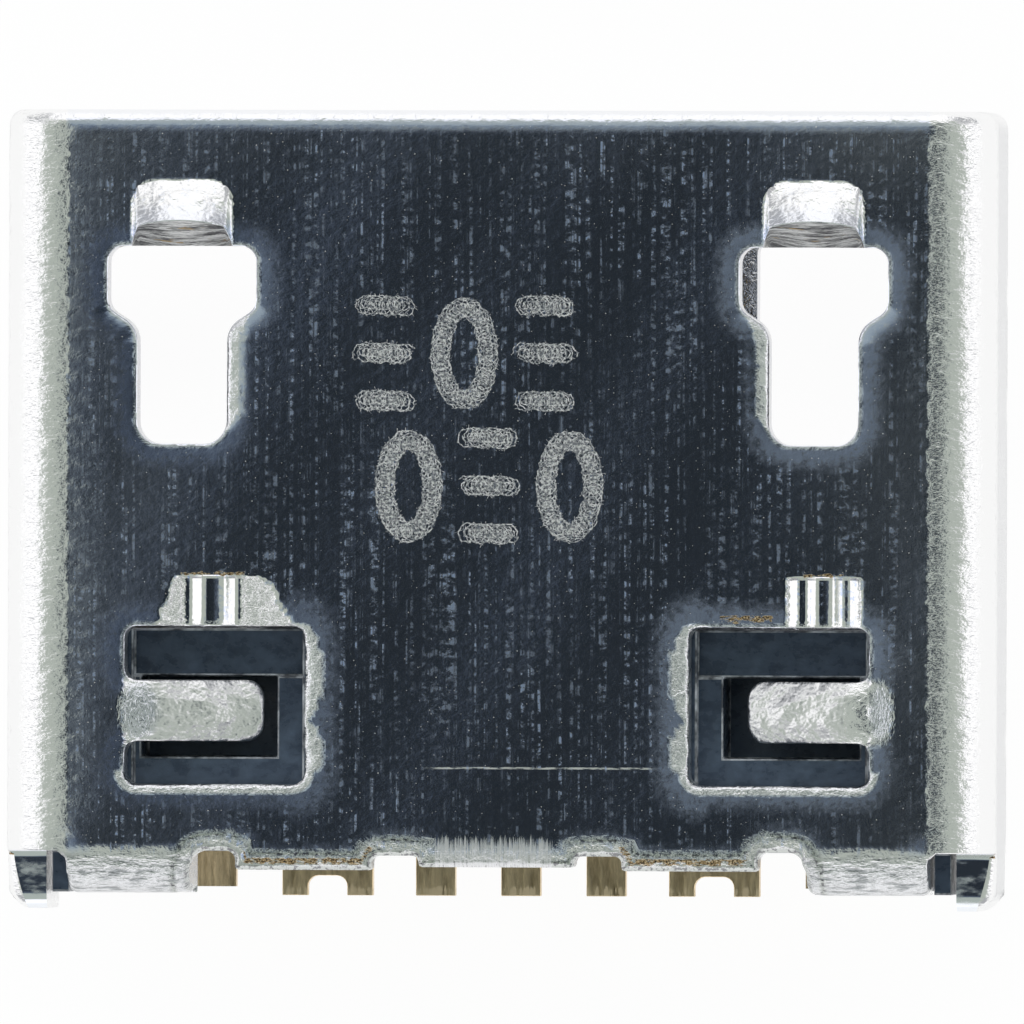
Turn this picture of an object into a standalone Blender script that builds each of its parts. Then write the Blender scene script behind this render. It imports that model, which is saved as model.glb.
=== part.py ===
"""Charging port: a micro-size socket that is soldered to a circuit board.

All sizes are in millimetres. The mouth opens toward -Y and its rim lies at y = 0. The wide face
of the shell is up, and the board's surface is at z = 0. An empty sets the finished part down on
its four board legs, with the origin in the middle of its footprint.
"""
import math

import bmesh
import bpy
from mathutils import Vector
from mathutils.geometry import delaunay_2d_cdt

MM = 0.001

# Shell section
SHEET = 0.3
MOUTH_WIDTH = 6.9
MOUTH_HEIGHT = 1.85
MOUTH_FLOOR_WIDTH = 5.4
FLANK_RISE = 0.52
SHELL_BEND_RADIUS = 0.15
BEND_STEPS = 6

# Depth of the mouth and length of the housing's body behind it
MOUTH_DEPTH = 3.92
BODY_LENGTH = 1.68

# Back edge of the shell, measured from the housing's back
BACK_EDGE_MIDDLE = 0.115
BACK_EDGE_OUTER = 0.14
INNER_NOTCH_CENTRE = 0.768
INNER_NOTCH_WIDTH = 0.355
INNER_NOTCH_DEPTH = 0.085
INNER_NOTCH_CORNER = 0.05
OUTER_NOTCH_WIDTH = 0.36
OUTER_NOTCH_DEPTH = 0.145
OUTER_NOTCH_CORNER = 0.14
EDGE_CORNER = 0.03

# Ears: the side walls run on past the housing's back
EAR_REACH = 0.44
EAR_TOP_DROP = 0.5
EAR_CORNER = 0.12

# Tabs bent down behind the housing
BACK_TAB_FROM_WALL = 0.19
BACK_TAB_WIDTH = 0.92
BACK_TAB_DROP = 1.0
BACK_TAB_BEND_RADIUS = 0.08
BACK_TAB_CORNER = 0.08

# Seam under the floor, with dovetail keys
SEAM_GAP = 0.03
KEY_CENTRES = (1.45, 3.55)
KEY_NECK = 0.42
KEY_HEAD = 0.62
KEY_LENGTH = 0.34
KEY_CORNER = 0.04

# Latch windows in the wide face, with raised lips in front of them
LATCH_FROM_WALL = 1.058
LATCH_BAR_WIDTH = 1.126
LATCH_STEM_WIDTH = 0.677
LATCH_FRONT = 1.03
LATCH_BAR_LENGTH = 0.47
LATCH_SHOULDER_LENGTH = 0.14
LATCH_STEM_LENGTH = 0.885
LATCH_CORNER = 0.11
LATCH_SHOULDER_CORNER = 0.2
LATCH_END_CORNER = 0.17
LIP_WIDTH = 0.765
LIP_LENGTH = 0.49
LIP_RISE = 0.21
LIP_SIDE = 0.09
LIP_STEPS = 6
LIP_SIDE_STEPS = 3

# Finger windows and retention fingers
FINGER_WINDOW_FROM_WALL = 0.63
FINGER_WINDOW_WIDTH = 1.365
FINGER_WINDOW_FRONT = 3.9
FINGER_WINDOW_LENGTH = 1.195
FINGER_WINDOW_CORNER = 0.09
FINGER_CENTRE = 4.54
FINGER_WIDTH = 0.462
FINGER_REACH = 0.97
FINGER_TIP_CORNER = 0.13
FINGER_ANGLE = 20.0
FINGER_BEND_RADIUS = 0.57
FINGER_BEND_SETBACK = 0.14

# Pressed stops in front of the finger windows: their distances from the walls and their widths
STOPS_FROM_WALL = (1.295, 0.99)
STOP_WIDTHS = (0.5, 0.54)
STOP_LENGTH = 0.38
STOP_DEPTH = 0.2
STOP_SLIT = 0.03
STOP_STEPS = 10

# Floor windows and board legs
FLOOR_WINDOW_FROM_WALL = 0.25
FLOOR_WINDOW_FRONT = 0.95
FLOOR_WINDOW_LENGTH = 1.7
FLOOR_WINDOW_CORNER = 0.12
FRONT_LEG_CENTRE = 1.8
BACK_LEG_FROM_BACK = 0.4
LEG_WIDTH = 0.8
LEG_DROP = 0.85
LEG_INSET = 0.17
LEG_JOG_ANGLE = 30.0
LEG_BEND_RADIUS = 0.05
LEG_TIP_CORNER = 0.16
LEG_RELIEF = 0.08
FLOOR_WINDOW_PAST_LEG = 0.322
LEG_STEPS = 3

# Housing: clearances round the fingers, shallow recesses under the windows, and corner posts
HOUSING_FIT = 0.02
POCKET_DEPTH = 0.58
POCKET_PAST_TIP = 0.16
POCKET_PAST_ROOT = 0.097
POCKET_FRONT_GAP = 0.034
POCKET_BACK_GAP = 0.119
RECESS_DEPTH = 0.05
RECESS_FRONT_DEPTH = 0.09
RECESS_SIDE_STEP = 0.04
RECESS_BACK_STEP = 0.155
RECESS_OVERLAP = 0.1
POST_REACH = 0.315
POST_TOP_DROP = 0.52

# Contact tongue
TONGUE_WIDTH = 3.4
TONGUE_THICKNESS = 0.6
TONGUE_CLEAR_BELOW = 0.88
TONGUE_FRONT = 0.8
TONGUE_NOSE = 0.22
TONGUE_NOSE_STEP = 0.15
TONGUE_ROOT_LENGTH = 0.35
TONGUE_ROOT_STEP = 0.14

# Contacts and solder anchors
STRIP = 0.12
STRIP_BEND_RADIUS = 0.08
STRIP_FIT = 0.015
STRIP_STEPS = 4
CONTACT_NAMES = ("contact_supply", "contact_data_minus", "contact_data_plus", "contact_id",
                 "contact_ground")
CONTACT_PITCH = 0.65
CONTACT_WIDTH = 0.37
CONTACT_FROM_NOSE = 0.25
CONTACT_CORNER = 0.06
DROP_FROM_BACK = 0.65
DROP_FROM_FLOOR = 0.23
TAIL_WIDTH = 0.3
TAIL_REACH = 0.35
FORK_SHIFT = 0.174
FORK_WIDTH = 0.69
FORK_GAP = 0.3
FORK_LENGTH = 0.15
FORK_CORNER = 0.08
ANCHOR_FROM_FORK = 0.351
ANCHOR_WIDTH = 0.6
ANCHOR_HEIGHT = 1.1

# Sizes that follow from the ones above
MOUTH_TOP = SHEET + MOUTH_HEIGHT
SHELL_TOP = MOUTH_TOP + SHEET
HALF_MOUTH = MOUTH_WIDTH / 2
HALF_FLOOR = MOUTH_FLOOR_WIDTH / 2
FLANK_TOP = SHEET + FLANK_RISE
HOUSING_BACK = MOUTH_DEPTH + BODY_LENGTH
HOUSING_TOP = MOUTH_TOP - HOUSING_FIT
EAR_END = HOUSING_BACK + EAR_REACH
BACK_TAB_OUTER_EDGE = HALF_MOUTH - BACK_TAB_FROM_WALL
BACK_TAB_INNER_EDGE = BACK_TAB_OUTER_EDGE - BACK_TAB_WIDTH
LATCH_CENTRE = HALF_MOUTH - LATCH_FROM_WALL
LIP_FRONT = LATCH_FRONT - LIP_LENGTH
FINGER_WINDOW_OUTER = HALF_MOUTH - FINGER_WINDOW_FROM_WALL
FINGER_WINDOW_INNER = FINGER_WINDOW_OUTER - FINGER_WINDOW_WIDTH
FINGER_WINDOW_END = FINGER_WINDOW_FRONT + FINGER_WINDOW_LENGTH
FINGER_TIP = FINGER_WINDOW_OUTER - FINGER_REACH
STOP_FRONT = FINGER_WINDOW_FRONT - STOP_LENGTH
STOP_CENTRES = (HALF_MOUTH - STOPS_FROM_WALL[0], STOPS_FROM_WALL[1] - HALF_MOUTH)
LEG_CENTRES = (FRONT_LEG_CENTRE, HOUSING_BACK - BACK_LEG_FROM_BACK)
TONGUE_BOTTOM = SHEET + TONGUE_CLEAR_BELOW
TONGUE_TOP = TONGUE_BOTTOM + TONGUE_THICKNESS
CONTACT_FRONT = TONGUE_FRONT + CONTACT_FROM_NOSE
DROP_PLACE = HOUSING_BACK - DROP_FROM_BACK
FLOOR_END = DROP_PLACE - DROP_FROM_FLOOR
TAIL_END = HOUSING_BACK + TAIL_REACH
FORK_CENTRE = 2 * CONTACT_PITCH + FORK_SHIFT
ANCHOR_INNER_EDGE = FORK_CENTRE + FORK_WIDTH / 2 + ANCHOR_FROM_FORK


class BentSheet:
    """Side view of a sheet, as a line with a bend of one inner radius at each inner corner.

    The line is the face at depth 0, and depth grows to its left, up to the sheet's thickness.
    A distance along the sheet is measured flat, before it is bent.
    """

    def __init__(self, corners, radius, thickness):
        self.runs = []
        self.bends = []
        corners = [Vector(c) for c in corners]
        start, travelled = corners[0], 0.0
        heading = (corners[1] - corners[0]).normalized()
        for here, following in zip(corners[1:], corners[2:]):
            new_heading = (following - here).normalized()
            turn = heading.angle_signed(new_heading)
            face_radius = radius if turn > 0 else radius + thickness
            setback = face_radius * math.tan(abs(turn) / 2)
            end = here - heading * setback
            length = (end - start).length
            self.runs.append(("straight", travelled, travelled + length, start, heading, 0, 0))
            travelled += length
            arc = (radius + thickness / 2) * abs(turn)
            self.runs.append(("bend", travelled, travelled + arc, end, heading, turn, face_radius))
            self.bends.append((travelled, travelled + arc))
            travelled += arc
            start, heading = here + new_heading * setback, new_heading
        length = (corners[-1] - start).length
        self.runs.append(("straight", travelled, travelled + length, start, heading, 0, 0))
        self.length = travelled + length

    def at(self, distance, depth):
        """The point at a flat distance along the sheet and a depth into it."""
        run = self.runs[-1]
        for candidate in self.runs:
            if distance <= candidate[2]:
                run = candidate
                break
        kind, begin, end, start, heading, turn, face_radius = run
        left = Vector((-heading.y, heading.x))
        if kind == "straight":
            return start + heading * (distance - begin) + left * depth
        part = turn * (distance - begin) / (end - begin)
        side = -1 if turn > 0 else 1
        centre = start + left * side * face_radius
        radius = face_radius + depth if turn > 0 else face_radius - depth
        spoke = -left * side
        angle = -part
        turned = Vector((spoke.x * math.cos(angle) - spoke.y * math.sin(angle),
                         spoke.x * math.sin(angle) + spoke.y * math.cos(angle)))
        return centre + turned * radius

    def distance_at(self, target, axis, low, high):
        """The flat distance, between two others, where one coordinate of the line has a value."""
        rising = self.at(high, 0)[axis] > self.at(low, 0)[axis]
        for _ in range(50):
            middle = (low + high) / 2
            if (self.at(middle, 0)[axis] < target) == rising:
                low = middle
            else:
                high = middle
        return (low + high) / 2

    def fold_lines(self, steps):
        """The flat distances at which the bent sheet needs an edge."""
        lines = []
        for begin, end in self.bends:
            lines += [begin + (end - begin) * i / steps for i in range(steps + 1)]
        return lines


def rounded(corners, steps=5):
    """A closed outline from corners (u, v, radius), with an arc at each corner that has one.

    Where two arcs would not both fit on the edge between them, they share it.
    """
    places = [Vector(corner[:2]) for corner in corners]
    count = len(corners)
    spokes = []
    for i, here in enumerate(places):
        before = (places[i - 1] - here).normalized()
        after = (places[(i + 1) % count] - here).normalized()
        spokes.append((before, after, before.angle(after) / 2))
    wanted = [corners[i][2] / math.tan(spokes[i][2]) for i in range(count)]
    setbacks = list(wanted)
    for i in range(count):
        following = (i + 1) % count
        share = (places[following] - places[i]).length / max(wanted[i] + wanted[following], 1e-9)
        if share < 1:
            setbacks[i] = min(setbacks[i], wanted[i] * share)
            setbacks[following] = min(setbacks[following], wanted[following] * share)

    points = []
    for here, (before, after, half), setback in zip(places, spokes, setbacks):
        if setback <= 0:
            points.append(tuple(here))
            continue
        start = here + before * setback
        centre = here + (before + after).normalized() * setback / math.cos(half)
        spoke = start - centre
        sweep = math.pi - 2 * half
        sign = 1 if before.x * after.y - before.y * after.x < 0 else -1
        for k in range(steps + 1):
            angle = sign * sweep * k / steps
            points.append((centre.x + spoke.x * math.cos(angle) - spoke.y * math.sin(angle),
                           centre.y + spoke.x * math.sin(angle) + spoke.y * math.cos(angle)))
    return points


def inside(point, outline):
    """Whether a flat point lies inside a closed outline."""
    result = False
    for (u0, v0), (u1, v1) in zip(outline, outline[1:] + outline[:1]):
        if (v0 > point[1]) != (v1 > point[1]):
            if point[0] < u0 + (point[1] - v0) * (u1 - u0) / (v1 - v0):
                result = not result
    return result


def grid(u_values, v_values):
    """The edges of a rectangular grid of fold lines."""
    edges = [((u, v_values[0]), (u, v_values[-1])) for u in u_values]
    return edges + [((u_values[0], v), (u_values[-1], v)) for v in v_values]


def spread(low, high, steps):
    """Evenly spaced values from low to high."""
    return [low + (high - low) * i / steps for i in range(steps + 1)]


def sheet_mesh(name, outline, holes, lines, place, thickness):
    """A sheet cut to a flat outline with holes, creased along lines and put in place.

    place turns a flat point and a depth into a point in millimetres.
    """
    points, edges = [], []
    for loop in [outline] + holes:
        first = len(points)
        points += [Vector(p) for p in loop]
        edges += [(first + i, first + (i + 1) % len(loop)) for i in range(len(loop))]
    for begin, end in lines:
        points += [Vector(begin), Vector(end)]
        edges.append((len(points) - 2, len(points) - 1))
    flat, _, triangles, _, _, _ = delaunay_2d_cdt(points, edges, [], 0, 1e-6)

    kept = []
    for triangle in triangles:
        middle = sum((flat[i] for i in triangle), Vector((0, 0))) / 3
        if inside(middle, outline) and not any(inside(middle, hole) for hole in holes):
            kept.append(tuple(triangle))
    used = sorted({i for triangle in kept for i in triangle})
    renumber = {old: new for new, old in enumerate(used)}
    kept = [tuple(renumber[i] for i in triangle) for triangle in kept]

    count = len(used)
    vertices = []
    for depth in (0, thickness):
        vertices += [Vector(place(flat[i].x, flat[i].y, depth)) * MM for i in used]
    faces = [triangle[::-1] for triangle in kept]
    faces += [tuple(i + count for i in triangle) for triangle in kept]
    half_edges = {(t[k], t[(k + 1) % 3]) for t in kept for k in range(3)}
    for a, b in half_edges:
        if (b, a) not in half_edges:
            faces += [(a, b, b + count), (a, b + count, a + count)]

    mesh = bpy.data.meshes.new(name)
    mesh.from_pydata(vertices, [], faces)
    shape = bmesh.new()
    shape.from_mesh(mesh)
    bmesh.ops.recalc_face_normals(shape, faces=shape.faces)
    shape.to_mesh(mesh)
    shape.free()
    return mesh


def material(name, colour, metallic, roughness):
    """A Principled material."""
    made = bpy.data.materials.new(name)
    made.use_nodes = True
    shader = made.node_tree.nodes["Principled BSDF"]
    shader.inputs["Base Color"].default_value = (*colour, 1)
    shader.inputs["Metallic"].default_value = metallic
    shader.inputs["Roughness"].default_value = roughness
    made.diffuse_color = (*colour, 1)
    return made


def add_object(name, mesh, frame, finish):
    """A named sub-part in the part's frame."""
    made = bpy.data.objects.new(name, mesh)
    bpy.context.scene.collection.objects.link(made)
    made.parent = frame
    made.data.materials.append(finish)
    return made


def shell_section():
    """Half of the shell's cross-section, from the middle of the wide face to the seam."""
    corners = [(0, MOUTH_TOP), (HALF_MOUTH, MOUTH_TOP), (HALF_MOUTH, FLANK_TOP),
               (HALF_FLOOR, SHEET), (SEAM_GAP / 2, SHEET)]
    return BentSheet(corners, SHELL_BEND_RADIUS, SHEET)


def leg_side_view(section):
    """A board leg: down the wall, a short jog inward, then straight down past the board."""
    angle = math.radians(LEG_JOG_ANGLE)
    jog_drop = LEG_INSET / math.tan(angle)
    jog_top = section.at(section.bends[1][0], 0).y - LEG_BEND_RADIUS * math.tan(angle / 2)
    corners = [(HALF_MOUTH, MOUTH_TOP), (HALF_MOUTH, jog_top),
               (HALF_MOUTH - LEG_INSET, jog_top - jog_drop), (HALF_MOUTH - LEG_INSET, -LEG_DROP)]
    return BentSheet(corners, LEG_BEND_RADIUS, SHEET)


def leg_tip_distance(section, leg):
    """The flat distance of a board leg's tip in the shell's blank."""
    return section.bends[1][0] + leg.length - leg.bends[0][0]


def back_tab_side_view():
    """A tab that runs back along the wide face and is bent down behind the housing."""
    inner_face = HOUSING_BACK + HOUSING_FIT
    corners = [(0, MOUTH_TOP), (inner_face, MOUTH_TOP), (inner_face, SHELL_TOP - BACK_TAB_DROP)]
    return BentSheet(corners, BACK_TAB_BEND_RADIUS, SHEET)


def finger_side_view():
    """A retention finger, from its root in the wide face down into the housing's pocket."""
    angle = math.radians(FINGER_ANGLE)
    corner = FINGER_BEND_SETBACK
    reach = FINGER_WINDOW_OUTER - corner - FINGER_TIP
    corners = [(0, MOUTH_TOP), (corner, MOUTH_TOP),
               (corner + reach, MOUTH_TOP - reach * math.tan(angle))]
    return BentSheet(corners, FINGER_BEND_RADIUS, SHEET)


def formed_height(x, y):
    """How far the wide face is pushed up into a lip, or down into a stop, at a point."""
    off_centre = abs(abs(x) - LATCH_CENTRE)
    if LIP_FRONT < y <= LATCH_FRONT + SHEET and off_centre < LIP_WIDTH / 2:
        along = min(1, (y - LIP_FRONT) / (LATCH_FRONT - LIP_FRONT))
        across = min(1, (LIP_WIDTH / 2 - off_centre) / LIP_SIDE)
        return LIP_RISE * along ** 2 * across * across * (3 - 2 * across)
    for centre, width in zip(STOP_CENTRES, STOP_WIDTHS):
        if abs(x - centre) < width / 2 and STOP_FRONT + STOP_SLIT / 2 < y < FINGER_WINDOW_FRONT + SHEET:
            return -STOP_DEPTH * (0.5 + 0.5 * math.cos(2 * math.pi * (x - centre) / width))
    return 0


def formed_point(x, y, depth):
    """A point of the wide face, with the sheet's thickness square to its formed surface."""
    height = formed_height(x, y)
    if height == 0:
        return (x, y, MOUTH_TOP + depth)
    step = SHEET / 100
    lip = height > 0
    slope = (height - formed_height(x, y - step)) / step if lip else 0
    normal = Vector((0, -slope, 1)).normalized()
    return (x + normal.x * depth, y + normal.y * depth, MOUTH_TOP + height + normal.z * depth)


def seam_edges(section):
    """The blank's two ends, front to back: keys on one, and the pockets they lock into."""
    seam = section.length
    keys, pockets = [], []
    for centre in KEY_CENTRES:
        neck, head = KEY_NECK / 2, KEY_HEAD / 2
        keys += [(seam, centre - neck, 0), (seam + KEY_LENGTH, centre - head, KEY_CORNER),
                 (seam + KEY_LENGTH, centre + head, KEY_CORNER), (seam, centre + neck, 0)]
        neck, head = neck + SEAM_GAP, head + SEAM_GAP
        pockets += [(-seam, centre - neck, 0), (KEY_LENGTH - seam, centre - head, KEY_CORNER),
                    (KEY_LENGTH - seam, centre + head, KEY_CORNER), (-seam, centre + neck, 0)]
    return keys, pockets


def half_back_edge(section, leg, tab):
    """The blank's edge from the back end of the seam round to the middle of the wide face."""
    wall_end = section.bends[1][0]
    leg_tip = leg_tip_distance(section, leg)
    leg_front, leg_back = LEG_CENTRES[1] - LEG_WIDTH / 2, LEG_CENTRES[1] + LEG_WIDTH / 2
    ear_top = section.distance_at(SHELL_TOP - EAR_TOP_DROP, 1, section.bends[0][1], wall_end)
    edge_middle = HOUSING_BACK + BACK_EDGE_MIDDLE
    edge_outer = HOUSING_BACK + BACK_EDGE_OUTER
    inner_top = edge_middle - INNER_NOTCH_DEPTH
    outer_top = edge_outer - OUTER_NOTCH_DEPTH
    notch_near = BACK_TAB_INNER_EDGE - OUTER_NOTCH_WIDTH
    inner_near = INNER_NOTCH_CENTRE - INNER_NOTCH_WIDTH / 2
    inner_far = INNER_NOTCH_CENTRE + INNER_NOTCH_WIDTH / 2
    return [(section.length, FLOOR_END, 0), (wall_end, FLOOR_END, EDGE_CORNER),
            (wall_end, leg_front, EDGE_CORNER), (leg_tip, leg_front, LEG_TIP_CORNER),
            (leg_tip, leg_back, LEG_TIP_CORNER), (wall_end, leg_back, EDGE_CORNER),
            (wall_end, EAR_END, EAR_CORNER), (ear_top, EAR_END, EAR_CORNER),
            (ear_top, HOUSING_BACK, EDGE_CORNER), (BACK_TAB_OUTER_EDGE, HOUSING_BACK, EDGE_CORNER),
            (BACK_TAB_OUTER_EDGE, tab.length, BACK_TAB_CORNER),
            (BACK_TAB_INNER_EDGE, tab.length, BACK_TAB_CORNER),
            (BACK_TAB_INNER_EDGE, outer_top, OUTER_NOTCH_CORNER),
            (notch_near, outer_top, OUTER_NOTCH_CORNER),
            (notch_near, edge_outer, EDGE_CORNER), (inner_far, edge_outer, EDGE_CORNER),
            (inner_far, inner_top, INNER_NOTCH_CORNER),
            (inner_near, inner_top, INNER_NOTCH_CORNER), (inner_near, edge_middle, EDGE_CORNER)]


def latch_window(side):
    """The T-shaped window that a plug's latch drops into."""
    bar, stem = LATCH_BAR_WIDTH / 2, LATCH_STEM_WIDTH / 2
    bar_end = LATCH_FRONT + LATCH_BAR_LENGTH
    shoulder_end = bar_end + LATCH_SHOULDER_LENGTH
    stem_end = shoulder_end + LATCH_STEM_LENGTH
    half = [(bar, LATCH_FRONT, LATCH_CORNER), (bar, bar_end, LATCH_CORNER),
            (stem, shoulder_end, LATCH_SHOULDER_CORNER), (stem, stem_end, LATCH_END_CORNER)]
    mirrored = [(-u, v, r) for u, v, r in reversed(half)]
    return rounded([(side * LATCH_CENTRE + u, v, r) for u, v, r in half + mirrored])


def finger_window(side, finger):
    """The C-shaped window that leaves a finger standing in its middle."""
    tip = FINGER_WINDOW_OUTER - finger.length
    front, back = FINGER_CENTRE - FINGER_WIDTH / 2, FINGER_CENTRE + FINGER_WIDTH / 2
    corner = FINGER_WINDOW_CORNER
    corners = [(FINGER_WINDOW_OUTER, FINGER_WINDOW_FRONT, corner),
               (FINGER_WINDOW_INNER, FINGER_WINDOW_FRONT, corner),
               (FINGER_WINDOW_INNER, FINGER_WINDOW_END, corner),
               (FINGER_WINDOW_OUTER, FINGER_WINDOW_END, corner),
               (FINGER_WINDOW_OUTER, back, corner), (tip, back, FINGER_TIP_CORNER),
               (tip, front, FINGER_TIP_CORNER), (FINGER_WINDOW_OUTER, front, corner)]
    return rounded([(side * u, v, r) for u, v, r in corners])


def floor_window(side, section, leg):
    """The floor window, with the front board leg left standing in it."""
    wall_end = section.bends[1][0]
    leg_tip = leg_tip_distance(section, leg)
    outer = section.distance_at(HALF_MOUTH - FLOOR_WINDOW_FROM_WALL, 0, section.bends[1][1],
                                section.bends[2][0])
    inner = leg_tip + FLOOR_WINDOW_PAST_LEG
    window_end = FLOOR_WINDOW_FRONT + FLOOR_WINDOW_LENGTH
    front, back = LEG_CENTRES[0] - LEG_WIDTH / 2, LEG_CENTRES[0] + LEG_WIDTH / 2
    corners = [(outer, FLOOR_WINDOW_FRONT, FLOOR_WINDOW_CORNER),
               (inner, FLOOR_WINDOW_FRONT, FLOOR_WINDOW_CORNER),
               (inner, window_end, FLOOR_WINDOW_CORNER),
               (outer, window_end, FLOOR_WINDOW_CORNER),
               (outer, back + LEG_RELIEF, 0), (wall_end, back + LEG_RELIEF, EDGE_CORNER),
               (wall_end, back, EDGE_CORNER), (leg_tip, back, LEG_TIP_CORNER),
               (leg_tip, front, LEG_TIP_CORNER), (wall_end, front, EDGE_CORNER),
               (wall_end, front - LEG_RELIEF, EDGE_CORNER), (outer, front - LEG_RELIEF, 0)]
    return rounded([(side * u, v, r) for u, v, r in corners])


def stop_slit(centre, width):
    """The thin slit where the sheet was sheared to press a stop down."""
    back = STOP_FRONT + STOP_SLIT
    us = spread(centre - width / 2, centre + width / 2, STOP_STEPS)
    return [(u, STOP_FRONT) for u in us] + [(u, back) for u in reversed(us)]


def shell_place(section, leg, tab, finger):
    """The function that folds a point of the shell's blank into its place."""
    wall_end = section.bends[1][0]
    leg_start = leg.bends[0][0]
    leg_end = leg_tip_distance(section, leg) + FLOOR_WINDOW_PAST_LEG / 2

    def place(s, v, depth):
        side = 1 if s >= 0 else -1
        a = abs(s)
        on_leg = any(abs(v - centre) < (LEG_WIDTH + LEG_RELIEF) / 2 for centre in LEG_CENTRES)
        if on_leg and wall_end < a < leg_end:
            point = leg.at(leg_start + a - wall_end, depth)
            return (side * point.x, v, point.y)
        on_tab = BACK_TAB_INNER_EDGE - EDGE_CORNER < a < BACK_TAB_OUTER_EDGE + EDGE_CORNER
        if on_tab and v > tab.bends[0][0]:
            point = tab.at(v, depth)
            return (s, point.x, point.y)
        on_finger = abs(v - FINGER_CENTRE) < FINGER_WIDTH / 2 + EDGE_CORNER
        if on_finger and FINGER_WINDOW_OUTER - finger.length - EDGE_CORNER < a < FINGER_WINDOW_OUTER:
            point = finger.at(FINGER_WINDOW_OUTER - a, depth)
            return (side * (FINGER_WINDOW_OUTER - point.x), v, point.y)
        if a < section.bends[0][0]:
            return formed_point(s, v, depth)
        point = section.at(a, depth)
        return (side * point.x, v, point.y)

    return place


def shell_fold_lines(section, leg, tab, finger):
    """The edges that the shell's blank needs where it is bent or formed."""
    lines = []
    to_tip = section.bends[1][0] - leg.bends[0][0]
    across_leg = (-LEG_WIDTH / 2, LEG_WIDTH / 2)
    across_finger = (FINGER_CENTRE - FINGER_WIDTH / 2, FINGER_CENTRE + FINGER_WIDTH / 2)
    lip_columns = spread(-LIP_WIDTH / 2, LIP_SIDE - LIP_WIDTH / 2, LIP_SIDE_STEPS)
    lip_columns += [-column for column in lip_columns]
    for side in (1, -1):
        for fold in section.fold_lines(BEND_STEPS):
            lines.append(((side * fold, -SHEET), (side * fold, EAR_END + SHEET)))
        for fold in tab.fold_lines(BEND_STEPS):
            lines.append(((side * BACK_TAB_INNER_EDGE, fold), (side * BACK_TAB_OUTER_EDGE, fold)))
        for fold in leg.fold_lines(LEG_STEPS):
            for centre in LEG_CENTRES:
                u = side * (to_tip + fold)
                lines.append(((u, centre + across_leg[0]), (u, centre + across_leg[1])))
        for fold in finger.fold_lines(BEND_STEPS):
            u = side * (FINGER_WINDOW_OUTER - fold)
            lines.append(((u, across_finger[0]), (u, across_finger[1])))
        lines += grid([side * LATCH_CENTRE + column for column in lip_columns],
                      spread(LIP_FRONT, LATCH_FRONT, LIP_STEPS))
    for centre, width in zip(STOP_CENTRES, STOP_WIDTHS):
        lines += grid(spread(centre - width / 2, centre + width / 2, STOP_STEPS),
                      [STOP_FRONT + STOP_SLIT, FINGER_WINDOW_FRONT])
    return lines


def build_shell(frame, finish):
    """The folded shell: one blank with its cut-outs, bent round the mouth and formed."""
    section = shell_section()
    leg = leg_side_view(section)
    tab = back_tab_side_view()
    finger = finger_side_view()

    keys, pockets = seam_edges(section)
    half = half_back_edge(section, leg, tab)
    corners = [(section.length, 0, 0)] + keys + half
    corners += [(-u, v, r) for u, v, r in reversed(half)]
    corners += pockets[::-1] + [(-section.length, 0, 0)]

    holes = [stop_slit(centre, width) for centre, width in zip(STOP_CENTRES, STOP_WIDTHS)]
    for side in (1, -1):
        holes += [latch_window(side), finger_window(side, finger),
                  floor_window(side, section, leg)]
    mesh = sheet_mesh("shell", rounded(corners), holes, shell_fold_lines(section, leg, tab, finger),
                      shell_place(section, leg, tab, finger), SHEET)
    return add_object("shell", mesh, frame, finish)


def prism(name, outline, axis, low, high):
    """A straight solid of one outline, from low to high along an axis.

    The outline's two numbers are the other two coordinates, in the order X, Y, Z.
    """
    def spot(pair, level):
        point = list(pair)
        point.insert("XYZ".index(axis), level)
        return Vector(point) * MM

    shape = bmesh.new()
    base = shape.faces.new([shape.verts.new(spot(pair, low)) for pair in outline])
    grown = bmesh.ops.extrude_face_region(shape, geom=[base])
    moved = [item for item in grown["geom"] if isinstance(item, bmesh.types.BMVert)]
    shift = spot((0, 0), high - low)
    bmesh.ops.translate(shape, verts=moved, vec=shift)
    bmesh.ops.recalc_face_normals(shape, faces=shape.faces)
    mesh = bpy.data.meshes.new(name)
    shape.to_mesh(mesh)
    shape.free()
    return mesh


def blocks(name, boxes):
    """One mesh of separate boxes, each given as its low and high corner."""
    sides = [(0, 1, 3, 2), (4, 6, 7, 5), (0, 4, 5, 1), (2, 3, 7, 6), (0, 2, 6, 4), (1, 5, 7, 3)]
    vertices, faces = [], []
    for low, high in boxes:
        faces += [tuple(i + len(vertices) for i in side) for side in sides]
        vertices += [Vector((x, y, z)) * MM
                     for x in (low[0], high[0]) for y in (low[1], high[1]) for z in (low[2], high[2])]
    mesh = bpy.data.meshes.new(name)
    mesh.from_pydata(vertices, [], faces)
    return mesh


def mirrored_boxes(low, high):
    """A box and its mirror image across the middle of the part."""
    return [(low, high), ((-high[0], low[1], low[2]), (-low[0], high[1], high[2]))]


def combine(target, mesh, operation, frame):
    """Join a mesh to an object, or cut it out, with a Boolean."""
    tool = bpy.data.objects.new(mesh.name, mesh)
    bpy.context.scene.collection.objects.link(tool)
    tool.parent = frame
    tool.hide_render = True
    tool.display_type = "WIRE"
    modifier = target.modifiers.new(mesh.name, "BOOLEAN")
    modifier.operation = operation
    modifier.solver = "EXACT"
    modifier.object = tool


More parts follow.
